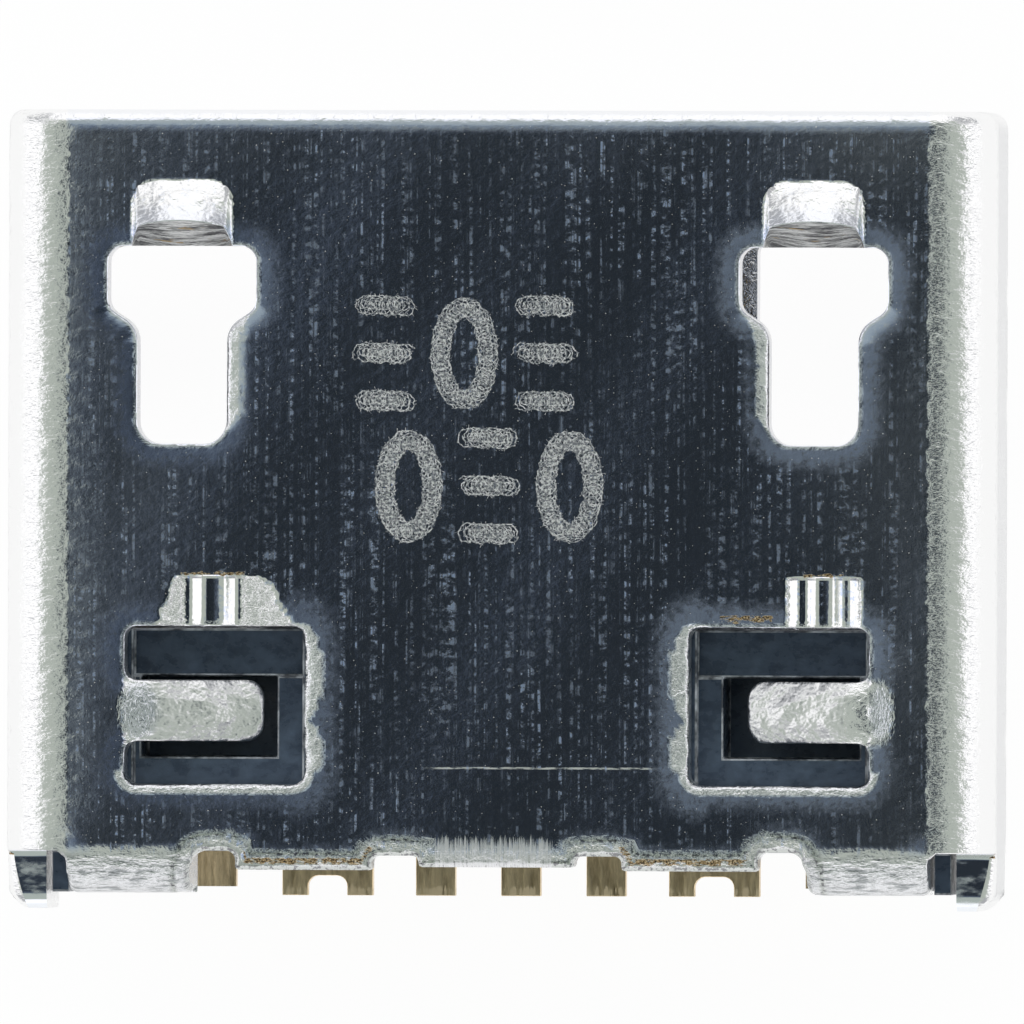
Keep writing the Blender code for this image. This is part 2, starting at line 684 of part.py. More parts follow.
def tongue_outline():
    """Side view of the contact tongue, with its tapered nose."""
    nose_low = TONGUE_BOTTOM + TONGUE_NOSE_STEP
    nose_high = TONGUE_TOP - TONGUE_NOSE_STEP
    return [(TONGUE_FRONT, nose_low), (TONGUE_FRONT + TONGUE_NOSE, TONGUE_BOTTOM),
            (MOUTH_DEPTH + SHEET, TONGUE_BOTTOM), (MOUTH_DEPTH + SHEET, TONGUE_TOP),
            (TONGUE_FRONT + TONGUE_NOSE, TONGUE_TOP), (TONGUE_FRONT, nose_high)]


def contact_side_view():
    """A contact: back along the tongue, through the housing and down to the board."""
    corners = [(0, TONGUE_BOTTOM), (DROP_PLACE, TONGUE_BOTTOM), (DROP_PLACE, 0), (TAIL_END, 0)]
    return BentSheet(corners, STRIP_BEND_RADIUS, STRIP)


def contact_places():
    """For each contact: its name, the middle of its beam, and the low and high sides of its tail."""
    places = []
    for i, name in enumerate(CONTACT_NAMES):
        step = i - (len(CONTACT_NAMES) - 1) / 2
        beam = step * CONTACT_PITCH
        centre, width = beam, TAIL_WIDTH
        if i in (0, len(CONTACT_NAMES) - 1):
            centre, width = math.copysign(FORK_CENTRE, step), FORK_WIDTH
        places.append((name, beam, centre - width / 2, centre + width / 2))
    return places


def build_housing(frame, finish):
    """The moulded housing: a body that fills the shell behind the mouth, and the tongue."""
    section = shell_section()
    right = [section.at(fold, -HOUSING_FIT) for fold in section.fold_lines(BEND_STEPS)]
    profile = [(p.x, p.y) for p in right] + [(-p.x, p.y) for p in reversed(right)]
    body = prism("housing", profile, "Y", MOUTH_DEPTH, HOUSING_BACK)
    housing = add_object("housing", body, frame, finish)
    add_tongue_and_posts(housing, frame)
    cut_finger_pockets(housing, frame)
    cut_contact_channels(housing, frame)


def add_tongue_and_posts(housing, frame):
    """The contact tongue with its thicker root, and the posts behind the two back corners."""
    half = TONGUE_WIDTH / 2
    combine(housing, prism("tongue", tongue_outline(), "X", -half, half), "UNION", frame)
    half += TONGUE_ROOT_STEP
    root = ((-half, MOUTH_DEPTH - TONGUE_ROOT_LENGTH, TONGUE_BOTTOM - TONGUE_ROOT_STEP),
            (half, MOUTH_DEPTH + SHEET, TONGUE_TOP + TONGUE_ROOT_STEP))
    combine(housing, blocks("tongue_root", [root]), "UNION", frame)
    low = (BACK_TAB_OUTER_EDGE + HOUSING_FIT, HOUSING_BACK - SHEET, FLANK_TOP + SHEET)
    high = (HALF_MOUTH - 2 * HOUSING_FIT, HOUSING_BACK + POST_REACH, SHELL_TOP - POST_TOP_DROP)
    combine(housing, blocks("corner_posts", mirrored_boxes(low, high)), "UNION", frame)


def cut_finger_pockets(housing, frame):
    """The pockets that the fingers dip into, and the shallow recesses round them."""
    above = HOUSING_TOP + SHEET
    front = FINGER_CENTRE - FINGER_WIDTH / 2 - POCKET_FRONT_GAP
    back = FINGER_CENTRE + FINGER_WIDTH / 2 + POCKET_BACK_GAP
    inner = FINGER_WINDOW_INNER + RECESS_SIDE_STEP
    outer = FINGER_WINDOW_OUTER - RECESS_SIDE_STEP
    low = (inner, MOUTH_DEPTH - SHEET, HOUSING_TOP - RECESS_FRONT_DEPTH)
    combine(housing, blocks("front_recesses", mirrored_boxes(low, (outer, front, above))),
            "DIFFERENCE", frame)
    low = (inner, front - RECESS_OVERLAP, HOUSING_TOP - RECESS_DEPTH)
    high = (outer, FINGER_WINDOW_END + RECESS_BACK_STEP, above)
    combine(housing, blocks("back_recesses", mirrored_boxes(low, high)), "DIFFERENCE", frame)
    low = (FINGER_TIP - POCKET_PAST_TIP, front, HOUSING_TOP - POCKET_DEPTH)
    high = (FINGER_WINDOW_OUTER - POCKET_PAST_ROOT, back, above)
    combine(housing, blocks("finger_pockets", mirrored_boxes(low, high)), "DIFFERENCE", frame)


def cut_contact_channels(housing, frame):
    """A groove along the tongue for each contact's beam, and a slot down for each tail."""
    half = CONTACT_WIDTH / 2
    top = TONGUE_BOTTOM + STRIP + STRIP_FIT
    below = HOUSING_FIT
    slot_front = DROP_PLACE - STRIP_BEND_RADIUS - STRIP_FIT
    slot_back = DROP_PLACE + STRIP + STRIP_FIT
    beams, slots = [], []
    for _, beam, tail_low, tail_high in contact_places():
        beams.append(((beam - half - STRIP_FIT, CONTACT_FRONT - STRIP_FIT, TONGUE_BOTTOM - STRIP_FIT),
                      (beam + half + STRIP_FIT, DROP_PLACE, top)))
        slots.append(((min(tail_low, beam - half) - STRIP_FIT, slot_front, below),
                      (max(tail_high, beam + half) + STRIP_FIT, slot_back, top)))
    slots += mirrored_boxes((ANCHOR_INNER_EDGE - STRIP_FIT, DROP_PLACE - STRIP_FIT, below),
                            (ANCHOR_INNER_EDGE + ANCHOR_WIDTH + STRIP_FIT, slot_back,
                             ANCHOR_HEIGHT + STRIP_FIT))
    combine(housing, blocks("beam_grooves", beams), "DIFFERENCE", frame)
    combine(housing, blocks("tail_slots", slots), "DIFFERENCE", frame)


def build_strip(name, corners, view, frame, finish):
    """A strip cut flat, with corners (u, v, radius), and bent to a side view along v."""
    us = [corner[0] for corner in corners]
    lines = [((min(us), fold), (max(us), fold)) for fold in view.fold_lines(STRIP_STEPS)]

    def place(u, v, depth):
        point = view.at(v, depth)
        return (u, point.x, point.y)

    add_object(name, sheet_mesh(name, rounded(corners), [], lines, place, STRIP), frame, finish)


def build_contacts(frame, finish):
    """The five contacts, each stamped from strip; the outer two have forked tails."""
    view = contact_side_view()
    neck = view.bends[0][0]
    end = view.length
    for name, beam, tail_low, tail_high in contact_places():
        half = CONTACT_WIDTH / 2
        corners = [(beam - half, CONTACT_FRONT, CONTACT_CORNER),
                   (beam + half, CONTACT_FRONT, CONTACT_CORNER), (beam + half, neck, 0),
                   (tail_high, neck, 0), (tail_high, end, 0)]
        if tail_high - tail_low > TAIL_WIDTH + FORK_GAP:
            middle = (tail_low + tail_high) / 2
            gap_low, gap_high = middle - FORK_GAP / 2, middle + FORK_GAP / 2
            root = end - FORK_LENGTH
            corners += [(gap_high, end, 0), (gap_high, root, FORK_CORNER),
                        (gap_low, root, FORK_CORNER), (gap_low, end, 0)]
        corners += [(tail_low, end, 0), (tail_low, neck, 0), (beam - half, neck, 0)]
        build_strip(name, corners, view, frame, finish)


def build_anchors(frame, finish):
    """The two solder anchors, pushed up into the housing outboard of the contacts."""
    corners = [(DROP_PLACE, ANCHOR_HEIGHT), (DROP_PLACE, 0), (TAIL_END, 0)]
    view = BentSheet(corners, STRIP_BEND_RADIUS, STRIP)
    outer = ANCHOR_INNER_EDGE + ANCHOR_WIDTH
    blank = [(ANCHOR_INNER_EDGE, 0, CONTACT_CORNER), (outer, 0, CONTACT_CORNER),
             (outer, view.length, 0), (ANCHOR_INNER_EDGE, view.length, 0)]
    for name, side in (("anchor_right", 1), ("anchor_left", -1)):
        build_strip(name, [(side * u, v, r) for u, v, r in blank], view, frame, finish)


for leftover in list(bpy.data.objects):
    bpy.data.objects.remove(leftover, do_unlink=True)

part_frame = bpy.data.objects.new("part_frame", None)
bpy.context.scene.collection.objects.link(part_frame)
part_frame.location = Vector((0, -EAR_END / 2, LEG_DROP)) * MM

plated_steel = material("plated_steel", (0.62, 0.64, 0.66), 1.0, 0.22)
black_moulding = material("black_moulding", (0.018, 0.02, 0.024), 0.0, 0.45)
gold_plate = material("gold_plate", (0.83, 0.62, 0.33), 1.0, 0.3)

build_shell(part_frame, plated_steel)
build_housing(part_frame, black_moulding)
build_contacts(part_frame, gold_plate)
build_anchors(part_frame, gold_plate)
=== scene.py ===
import math

import bmesh
import bpy
import numpy as np
from mathutils import Matrix, Vector
from mathutils.geometry import delaunay_2d_cdt
from mathutils.kdtree import KDTree


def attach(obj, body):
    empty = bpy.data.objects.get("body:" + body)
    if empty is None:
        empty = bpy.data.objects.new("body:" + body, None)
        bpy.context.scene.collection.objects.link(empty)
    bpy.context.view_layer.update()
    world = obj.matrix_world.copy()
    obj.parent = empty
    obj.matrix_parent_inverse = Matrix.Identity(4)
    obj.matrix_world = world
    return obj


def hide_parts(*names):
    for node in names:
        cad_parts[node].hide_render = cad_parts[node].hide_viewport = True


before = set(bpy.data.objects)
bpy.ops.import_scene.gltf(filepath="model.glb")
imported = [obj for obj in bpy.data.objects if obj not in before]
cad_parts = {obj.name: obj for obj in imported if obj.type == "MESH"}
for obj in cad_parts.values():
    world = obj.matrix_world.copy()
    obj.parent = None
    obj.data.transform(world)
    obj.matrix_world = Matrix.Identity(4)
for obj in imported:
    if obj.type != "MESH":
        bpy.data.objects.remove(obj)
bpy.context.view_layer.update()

# The studio: a white table top with bright soft light all round it and a dark opening overhead,
# where the camera looks in. Polished metal that faces straight up mirrors that dark opening.

MM = 0.001
photo_pixels, pixels_per_mm = 1024, 132.5
camera_target = Vector((-0.114, 0.012, 3.3)) * MM
camera_distance, sensor_width = 0.34, 36
camera_tilt, camera_roll = math.radians(4.7), math.radians(0.2)
view_width = photo_pixels / pixels_per_mm * MM

away = Vector((-math.sin(camera_tilt), 0, math.cos(camera_tilt)))
up = Vector((0, -1, 0))
turned = Matrix((up.cross(away), up, away)).transposed() @ Matrix.Rotation(camera_roll, 3, "Z")


def placed(name, data):
    """A new object in the scene."""
    made = bpy.data.objects.new(name, data)
    bpy.context.scene.collection.objects.link(made)
    return made


camera = placed("camera", bpy.data.cameras.new("camera"))
camera.matrix_world = Matrix.Translation(camera_target + away * camera_distance) @ turned.to_4x4()
camera.data.sensor_width = sensor_width
camera.data.lens = sensor_width * camera_distance / view_width
camera.data.clip_start = 0.01
camera.data.clip_end = 10
bpy.context.scene.camera = camera
bpy.context.scene.view_settings.view_transform = "Standard"


class Value:
    """What a node puts out. Arithmetic on it makes math nodes."""

    def __init__(self, recipe, socket):
        self.recipe, self.socket = recipe, socket

    def __add__(self, other):
        return self.recipe.reckon("ADD", self, other)

    def __sub__(self, other):
        return self.recipe.reckon("SUBTRACT", self, other)

    def __mul__(self, other):
        return self.recipe.reckon("MULTIPLY", self, other)

    def at_least(self, other):
        return self.recipe.reckon("MAXIMUM", self, other)

    def at_most(self, other):
        return self.recipe.reckon("MINIMUM", self, other)


class Recipe:
    """The nodes of one world, material or shape. A value is a node's, a number or a colour."""

    def __init__(self, tree):
        self.tree = tree

    def feed(self, socket, value):
        """Give a value to a socket; a plain number is a grey where a colour is wanted."""
        if isinstance(value, Value):
            self.tree.links.new(value.socket, socket)
        elif socket.type == "RGBA":
            socket.default_value = (*(value if isinstance(value, tuple) else (value,) * 3), 1)
        else:
            socket.default_value = value

    def add(self, kind, inputs, **settings):
        """A new node, with inputs by name or number. A short kind is a shader node."""
        made = self.tree.nodes.new(kind if "Node" in kind else "ShaderNode" + kind)
        for name, value in settings.items():
            setattr(made, name, value)
        for name, value in inputs.items():
            self.feed(made.inputs[name], value)
        return made

    def node(self, kind, inputs, out=0, **settings):
        """One output of a new node."""
        return Value(self, self.add(kind, inputs, **settings).outputs[out])

    def reckon(self, operation, first, second=0.0):
        """A math node of two values."""
        return self.node("Math", {0: first, 1: second}, operation=operation)

    def mix(self, factor, first, second):
        """A colour between two others."""
        return self.node("Mix", {0: factor, 6: first, 7: second}, out=2, data_type="RGBA")

    def parts(self, vector):
        """The three numbers of a vector."""
        made = self.add("SeparateXYZ", {0: vector})
        return [Value(self, socket) for socket in made.outputs]

    def ramp(self, source, *stops):
        """A run of colours over a value, from (place, colour) pairs."""
        made = self.add("ValToRGB", {0: source})
        elements = made.color_ramp.elements
        while len(elements) < len(stops):
            elements.new(0.5)
        for element, (place, colour) in zip(elements, stops):
            element.position = place
            element.color = (*(colour if isinstance(colour, tuple) else (colour,) * 3), 1)
        return Value(self, made.outputs[0])


world = bpy.data.worlds.new("light_tent")
bpy.context.scene.world = world
world.use_nodes = True
tent = Recipe(world.node_tree)
direction = tent.node("TexCoord", {}, out="Generated")


def sky_distance(centre):
    """How far a direction's flat shadow lies from the shadow of a centre direction."""
    offset = tent.node("VectorMath", {0: direction, 1: (*centre, 0)}, operation="SUBTRACT")
    flat = tent.node("VectorMath", {0: offset, 1: (1, 1.1, 0)}, operation="MULTIPLY")
    return tent.node("VectorMath", {0: flat}, out="Value", operation="LENGTH")


opening = tent.ramp(sky_distance((-0.085, 0.03)), (0.0, (0.0115, 0.0165, 0.022)),
                    (0.18, (0.015, 0.020, 0.027)), (0.22, (0.06, 0.08, 0.125)),
                    (0.25, (0.11, 0.14, 0.18)), (0.275, (0.42, 0.46, 0.42)))
diffuser = tent.ramp(sky_distance((-0.06, 0.095)), (0.0, 0.0), (0.785, 0.0), (0.815, 1.0))
sideways, lengthways, _ = tent.parts(direction)
fabric = tent.ramp(tent.reckon("ABSOLUTE", sideways * lengthways), (0.0, (1.12, 1.12, 1.13)),
                   (0.2, (1.12, 1.12, 1.13)), (0.4, (0.40, 0.41, 0.43)))
tent.feed(world.node_tree.nodes["Background"].inputs["Color"], tent.mix(diffuser, opening, fabric))


def built(name, points, edges, faces):
    """A new object in the scene, with a mesh of its own."""
    mesh = bpy.data.meshes.new(name)
    mesh.from_pydata(points, edges, faces)
    return placed(name, mesh)


half = 2.0
corners = [(-half, -half, 0), (half, -half, 0), (half, half, 0), (-half, half, 0)]
table = built("table_top", corners, [], [(0, 1, 2, 3)])


def new_finish(name):
    """A new material and its recipe."""
    made = bpy.data.materials.new(name)
    made.use_nodes = True
    return made, Recipe(made.node_tree)


white_paper, paper = new_finish("white_paper")
paper.tree.nodes.clear()
rays = paper.add("LightPath", {})
seen, mirrored, seen_through = (Value(paper, rays.outputs[name]) for name in (
    "Is Camera Ray", "Is Glossy Ray", "Is Transmission Ray"))
lit = paper.node("BsdfDiffuse", {"Color": 0.8})
shaded = paper.node("BsdfDiffuse", {"Color": 0.1})
glow = paper.node("Emission", {"Strength": 0.94})
glowing = paper.node("AddShader", {0: shaded, 1: glow})
shown = paper.node("MixShader", {0: seen.at_least(mirrored).at_least(seen_through), 1: lit, 2: glowing})
paper.add("OutputMaterial", {"Surface": shown})
table.data.materials.append(white_paper)

# The shell's flat blank: one piece of 0.3 mm nickel-plated steel, punched with its windows, slits
# and notches before it is folded. All sizes are in millimetres; u runs across the wide face from
# its middle and on round the bends, and v runs back from the mouth.

sheet = 0.3
mouth_top = 2.15
half_mouth = 3.45
flank_top = 0.82
half_floor = 2.7
bend_radius = 0.15
seam_gap = 0.03
housing_back = 5.6
ear_end, ear_top = 6.04, 1.95
burr = 0.03


class Fold:
    """Side view of a sheet: a line of straight runs with bends of one inner radius."""

    def __init__(self, corners, radius, thickness):
        corners = [Vector(c) for c in corners]
        self.runs, self.bends, self.length = [], [], 0.0
        start, heading = corners[0], (corners[1] - corners[0]).normalized()
        for here, following in zip(corners[1:], corners[2:]):
            new_heading = (following - here).normalized()
            turn = -heading.angle_signed(new_heading)
            line_radius = radius if turn < 0 else radius + thickness
            setback = line_radius * math.tan(abs(turn) / 2)
            bend_start = here - heading * setback
            self.run((bend_start - start).length, start, heading)
            arc = (radius + thickness / 2) * abs(turn)
            self.bends.append((self.length, self.length + arc))
            self.run(arc, bend_start, heading, turn, line_radius)
            start, heading = here + new_heading * setback, new_heading
        self.run((corners[-1] - start).length, start, heading)

    def run(self, reach, start, heading, turn=0.0, line_radius=0.0):
        """Add a straight run or a bend."""
        self.runs.append((self.length, self.length + reach, start, heading, turn, line_radius))
        self.length += reach

    def at(self, distance, depth):
        """Where flat distances and depths (arrays) come to lie in the side view."""
        distance, depth = np.broadcast_arrays(np.asarray(distance, float), np.asarray(depth, float))
        across, along = np.empty(distance.shape), np.empty(distance.shape)
        for number, (begin, end, start, heading, turn, line_radius) in enumerate(self.runs):
            low = -np.inf if number == 0 else begin
            high = np.inf if number == len(self.runs) - 1 else end
            here = (distance >= low) & (distance <= high)
            t, d = distance[here] - begin, depth[here]
            left = Vector((-heading.y, heading.x))
            if turn == 0:
                across[here] = start.x + heading.x * t + left.x * d
                along[here] = start.y + heading.y * t + left.y * d
                continue
            side = 1 if turn > 0 else -1
            centre = start + left * side * line_radius
            radius = line_radius - side * d
            angle = turn * t / (end - begin)
            spoke = -left * side
            across[here] = centre.x + radius * (spoke.x * np.cos(angle) - spoke.y * np.sin(angle))
            along[here] = centre.y + radius * (spoke.x * np.sin(angle) + spoke.y * np.cos(angle))
        return across, along


def rounded(corners, step=0.03):
    """A closed outline from corners (u, v, radius), each with its arc, in short steps."""
    places = [Vector(corner[:2]) for corner in corners]
    count = len(corners)
    outline = []
    for i, here in enumerate(places):
        before, after = places[i - 1] - here, places[(i + 1) % count] - here
        half = before.angle(after) / 2
        setback = corners[i][2] / math.tan(half)
        setback = min(setback, before.length * 0.499, after.length * 0.499)
        if setback < 1e-4:
            outline.append(tuple(here))
            continue
        before, after = before.normalized(), after.normalized()
        start = here + before * setback
        centre = here + (before + after).normalized() * setback / math.cos(half)
        spoke = start - centre
        sweep = math.pi - 2 * half
        turn = 1 if before.x * after.y - before.y * after.x < 0 else -1
        steps = max(2, round(spoke.length * sweep / step))
        for k in range(steps + 1):
            angle = turn * sweep * k / steps
            outline.append((centre.x + spoke.x * math.cos(angle) - spoke.y * math.sin(angle),
                            centre.y + spoke.x * math.sin(angle) + spoke.y * math.cos(angle)))
    fine = []
    for (u0, v0), (u1, v1) in zip(outline, outline[1:] + outline[:1]):
        pieces = max(1, math.ceil(math.hypot(u1 - u0, v1 - v0) / step))
        fine += [(u0 + (u1 - u0) * k / pieces, v0 + (v1 - v0) * k / pieces) for k in range(pieces)]
    return np.array(fine)


section = Fold([(0, mouth_top), (half_mouth, mouth_top), (half_mouth, flank_top),
                (half_floor, sheet), (seam_gap / 2, sheet)], bend_radius, sheet)
wall_end = section.bends[1][0]

leg_width, leg_drop, leg_inset, leg_relief, leg_corner = 0.8, 0.85, 0.17, 0.08, 0.16
leg_centres = (1.8, housing_back - 0.4)
leg_bend_radius, leg_jog = 0.05, math.radians(30)
jog_top = float(section.at(wall_end, 0)[1]) - leg_bend_radius * math.tan(leg_jog / 2)
leg = Fold([(half_mouth, mouth_top), (half_mouth, jog_top),
            (half_mouth - leg_inset, jog_top - leg_inset / math.tan(leg_jog)),
            (half_mouth - leg_inset, -leg_drop)], leg_bend_radius, sheet)
leg_tip = wall_end + leg.length - leg.bends[0][0]

tab_outer, tab_width, tab_drop, tab_radius = 3.26, 0.92, 1.0, 0.08
tab_inner = tab_outer - tab_width
tab_face = housing_back + 0.02
back_tab = Fold([(0, mouth_top), (tab_face, mouth_top), (tab_face, mouth_top + sheet - tab_drop)],
                tab_radius, sheet)

finger_root, finger_reach, finger_slope = 2.82, 0.97, math.radians(20)
finger_setback, finger_radius = 0.14, 0.57
finger_centre, finger_width = 4.54, 0.462
finger = Fold([(0, mouth_top), (finger_setback, mouth_top),
               (finger_reach, mouth_top - (finger_reach - finger_setback) * math.tan(finger_slope))],
              finger_radius, sheet)
finger_tip = finger_root - finger.length + 0.03

latch_centre = 2.392
latch_front, latch_bar_end, latch_shoulder_end, latch_end = 1.03, 1.5, 1.64, 2.525
latch_bar, latch_stem = 1.126 / 2, 0.677 / 2
window_front, window_end, window_inner = 3.9, 5.095, 1.455
stop_front = 3.52
stops = ((2.155, 0.49), (-2.475, 0.58))


def shell_outline():
    """The blank's outer edge, with the seam's dovetail keys on one end and pockets on the other."""
    neck, head, reach, corner = 0.21, 0.31, 0.34, 0.04
    seam = section.length
    keys, pockets = [], []
    for v in (1.45, 3.55):
        keys += [(seam, v - neck, 0), (seam + reach, v - head, corner),
                 (seam + reach, v + head, corner), (seam, v + neck, 0)]
        pockets += [(-seam, v - neck - seam_gap, 0), (reach - seam, v - head - seam_gap, corner),
                    (reach - seam, v + head + seam_gap, corner), (-seam, v + neck + seam_gap, 0)]
    floor_end, ear_corner = 4.72, 0.12
    notch_width, notch_depth, notch_corner = 0.36, 0.145, 0.14
    step_outer, step_inner, step_depth, step_corner = 0.9455, 0.5905, 0.085, 0.05
    ear_top_distance = section.bends[0][1] + float(section.at(section.bends[0][1], 0)[1]) - ear_top
    edge_middle, edge_outer = housing_back + 0.115, housing_back + 0.14
    leg_front, leg_back = leg_centres[1] - leg_width / 2, leg_centres[1] + leg_width / 2
    half = [(seam, floor_end, 0), (wall_end, floor_end, burr), (wall_end, leg_front, burr),
            (leg_tip, leg_front, leg_corner), (leg_tip, leg_back, leg_corner),
            (wall_end, leg_back, burr),
            (wall_end, ear_end, ear_corner), (ear_top_distance, ear_end, ear_corner),
            (ear_top_distance, housing_back, burr), (tab_outer, housing_back, burr),
            (tab_outer, back_tab.length, tab_radius), (tab_inner, back_tab.length, tab_radius),
            (tab_inner, edge_outer - notch_depth, notch_corner),
            (tab_inner - notch_width, edge_outer - notch_depth, notch_corner),
            (tab_inner - notch_width, edge_outer, burr), (step_outer, edge_outer, burr),
            (step_outer, edge_middle - step_depth, step_corner),
            (step_inner, edge_middle - step_depth, step_corner), (step_inner, edge_middle, burr)]
    return rounded([(seam, 0, 0)] + keys + half + [(-u, v, r) for u, v, r in reversed(half)]
                   + pockets[::-1] + [(-seam, 0, 0)])


def latch_window(side):
    """The T-shaped window for a plug's latch."""
    half = [(latch_bar, latch_front, 0.12), (latch_bar, latch_bar_end, 0.13),
            (latch_stem, latch_shoulder_end, 0.2), (latch_stem, latch_end, 0.17)]
    whole = half + [(-u, v, r) for u, v, r in reversed(half)]
    return rounded([(side * latch_centre + u, v, r) for u, v, r in whole])


def finger_window(side):
    """The C-shaped window round a retention finger."""
    front, back = finger_centre - finger_width / 2, finger_centre + finger_width / 2
    corner, tip_corner = 0.09, 0.12
    tip = finger_tip + (0.1 if side < 0 else 0)
    return rounded([(side * u, v, r) for u, v, r in (
        (finger_root, window_front, corner), (window_inner, window_front, corner),
        (window_inner, window_end, corner), (finger_root, window_end, corner),
        (finger_root, back, corner), (tip, back, tip_corner), (tip, front, tip_corner),
        (finger_root, front, corner))])


def floor_window(side):
    """The window in a flank and the floor, round the front board leg."""
    front, back = leg_centres[0] - leg_width / 2, leg_centres[0] + leg_width / 2
    slope = Vector((half_floor - half_mouth, sheet - flank_top)).normalized()
    bend_end = section.bends[1][1]
    outer = bend_end + (half_mouth - 0.25 - float(section.at(bend_end, 0)[0])) / slope.x
    inner, corner, near, far = leg_tip + 0.322, 0.12, 0.95, 2.65
    return rounded([(side * u, v, r) for u, v, r in (
        (outer, near, corner), (inner, near, corner), (inner, far, corner), (outer, far, corner),
        (outer, back + leg_relief, 0), (wall_end, back + leg_relief, burr), (wall_end, back, burr),
        (leg_tip, back, leg_corner), (leg_tip, front, leg_corner), (wall_end, front, burr),
        (wall_end, front - leg_relief, burr), (outer, front - leg_relief, 0))])


loops = [shell_outline()]
for side in (1, -1):
    loops += [latch_window(side), finger_window(side), floor_window(side)]


def inside(points, loop):
    """Which flat points lie inside a closed outline."""
    result = np.zeros(len(points), bool)
    for (u0, v0), (u1, v1) in zip(loop, np.roll(loop, -1, axis=0)):
        spans = (v0 > points[:, 1]) != (v1 > points[:, 1])
        if v0 != v1:
            crossing = u0 + (points[:, 1] - v0) * (u1 - u0) / (v1 - v0)
            result ^= spans & (points[:, 0] < crossing)
    return result


def on_sheet(points):
    """Which flat points lie on the punched blank."""
    result = inside(points, loops[0])
    for loop in loops[1:]:
        result &= ~inside(points, loop)
    return result


starts = np.vstack(loops)
loop_sizes = np.array([len(loop) for loop in loops])
loop_starts = np.concatenate([[0], np.cumsum(loop_sizes)[:-1]])
loop_of = np.repeat(np.arange(len(loops)), loop_sizes)
place_in_loop = np.arange(len(starts)) - loop_starts[loop_of]
following = loop_starts[loop_of] + (place_in_loop + 1) % loop_sizes[loop_of]
previous = loop_starts[loop_of] + (place_in_loop - 1) % loop_sizes[loop_of]
edge_tree = KDTree(len(starts))
for number, (u, v) in enumerate(starts):
    edge_tree.insert((u, v, 0), number)
edge_tree.balance()


def nearest_edge(points):
    """The nearest sample of a cut edge for each flat point, and the distance to that edge."""
    number = np.array([edge_tree.find((u, v, 0))[1] for u, v in points])
    gaps = []
    for a, b in ((number, following[number]), (previous[number], number)):
        span = starts[b] - starts[a]
        part = ((points - starts[a]) * span).sum(1) / (span ** 2).sum(1)
        foot = starts[a] + np.clip(part, 0, 1)[:, None] * span
        gaps.append(np.linalg.norm(points - foot, axis=1))
    return number, np.minimum(*gaps)


def grid(side, across, rows):
    """Points in rows, from a range across and a range of rows. Every other row is shifted."""
    us = side * np.arange(*across)
    grid_u, grid_v = np.meshgrid(us, np.arange(*rows) if isinstance(rows, tuple) else rows)
    grid_u[1::2] += (us[1] - us[0]) / 2
    return np.column_stack([grid_u.ravel(), grid_v.ravel()])


edge_rows, thinned_from = [], 0.1
row_gaps = (0.007, 0.016, 0.027, 0.041, 0.06, 0.085, 0.12, 0.165)
for loop in loops:
    along = np.roll(loop, -1, axis=0) - np.roll(loop, 1, axis=0)
    outward = np.column_stack([along[:, 1], -along[:, 0]]) / np.linalg.norm(along, axis=1)[:, None]
    for row_gap in row_gaps:
        for turn in (1, -1):
            moved = (loop + outward * row_gap * turn)[::2 if row_gap > thinned_from else 1]
            edge_rows.append(moved[np.abs(nearest_edge(moved)[1] - row_gap) < row_gap * 0.12 + 0.001])
edge_rows = np.vstack(edge_rows)

side_bend, tab_bend = section.bends[0], back_tab.bends[0]
coarse, fine = [grid(1, (-3, 3, 0.1), (0.02, 5.7, 0.087))], []
for side in (1, -1):
    coarse.append(grid(side, (side_bend[0] - 0.06, side_bend[1] + 0.06, 0.03), (0.02, 5.7, 0.08)))
    for bend in section.bends[1:]:
        coarse.append(grid(side, (bend[0] - 0.03, bend[1] + 0.03, 0.04), (0.02, 5.7, 0.15)))
    coarse.append(grid(side, (side_bend[1] + 0.1, section.length + 0.3, 0.18), (0.05, 6, 0.156)))
    fine.append(grid(side, (latch_centre - 0.42, latch_centre + 0.42, 0.017), (0.49, latch_front, 0.017)))
    fine.append(grid(side, (finger_tip, finger_root + 0.2, 0.03),
                     (finger_centre - 0.3, finger_centre + 0.3, 0.026)))
    fine.append(grid(side, (tab_inner, tab_outer, 0.06), (tab_bend[0] - 0.03, tab_bend[1] + 0.03, 0.02)))
    for v in leg_centres:
        fine.append(grid(side, (wall_end, wall_end + leg.bends[1][1] - leg.bends[0][0], 0.02),
                         (v - 0.4, v + 0.4, 0.08)))
for centre, width in stops:
    fine.append(grid(1, (centre - 0.7, centre + 0.7, 0.014),
                     np.append(stop_front + np.arange(-0.06, 0.036, 0.009),
                               np.arange(stop_front + 0.05, window_front, 0.03))))
coarse, fine = np.vstack(coarse), np.vstack(fine)
coarse = coarse[nearest_edge(coarse)[1] > 0.18]
fine = fine[nearest_edge(fine)[1] > 0.02]
points = np.vstack([edge_rows, fine, coarse])
points = points[on_sheet(points)]
spacing = 0.006
keep = np.unique(np.round(points / spacing).astype(int), axis=0, return_index=True)[1]
points = points[np.sort(keep)]

edges = list(zip(range(len(starts)), following.tolist()))
flat, _, triangles, _, _, _ = delaunay_2d_cdt([Vector(p) for p in np.vstack([starts, points])],
                                              edges, [], 0, 1e-7)
flat = np.array([tuple(point) for point in flat])
triangles = np.array(triangles)
triangles = triangles[on_sheet(flat[triangles].mean(1))]
used, triangles = np.unique(triangles, return_inverse=True)
triangles = triangles.reshape(-1, 3)
flat = flat[used]

# The shell folded round the mouth: bends, board legs and back tabs, with the lips pressed up, the
# stops and fingers pressed down, and every punched edge rolled over on its outer side. Bends and
# pressed places are stretched and go satin; cut walls are clean, and torn only at the lips' ends.

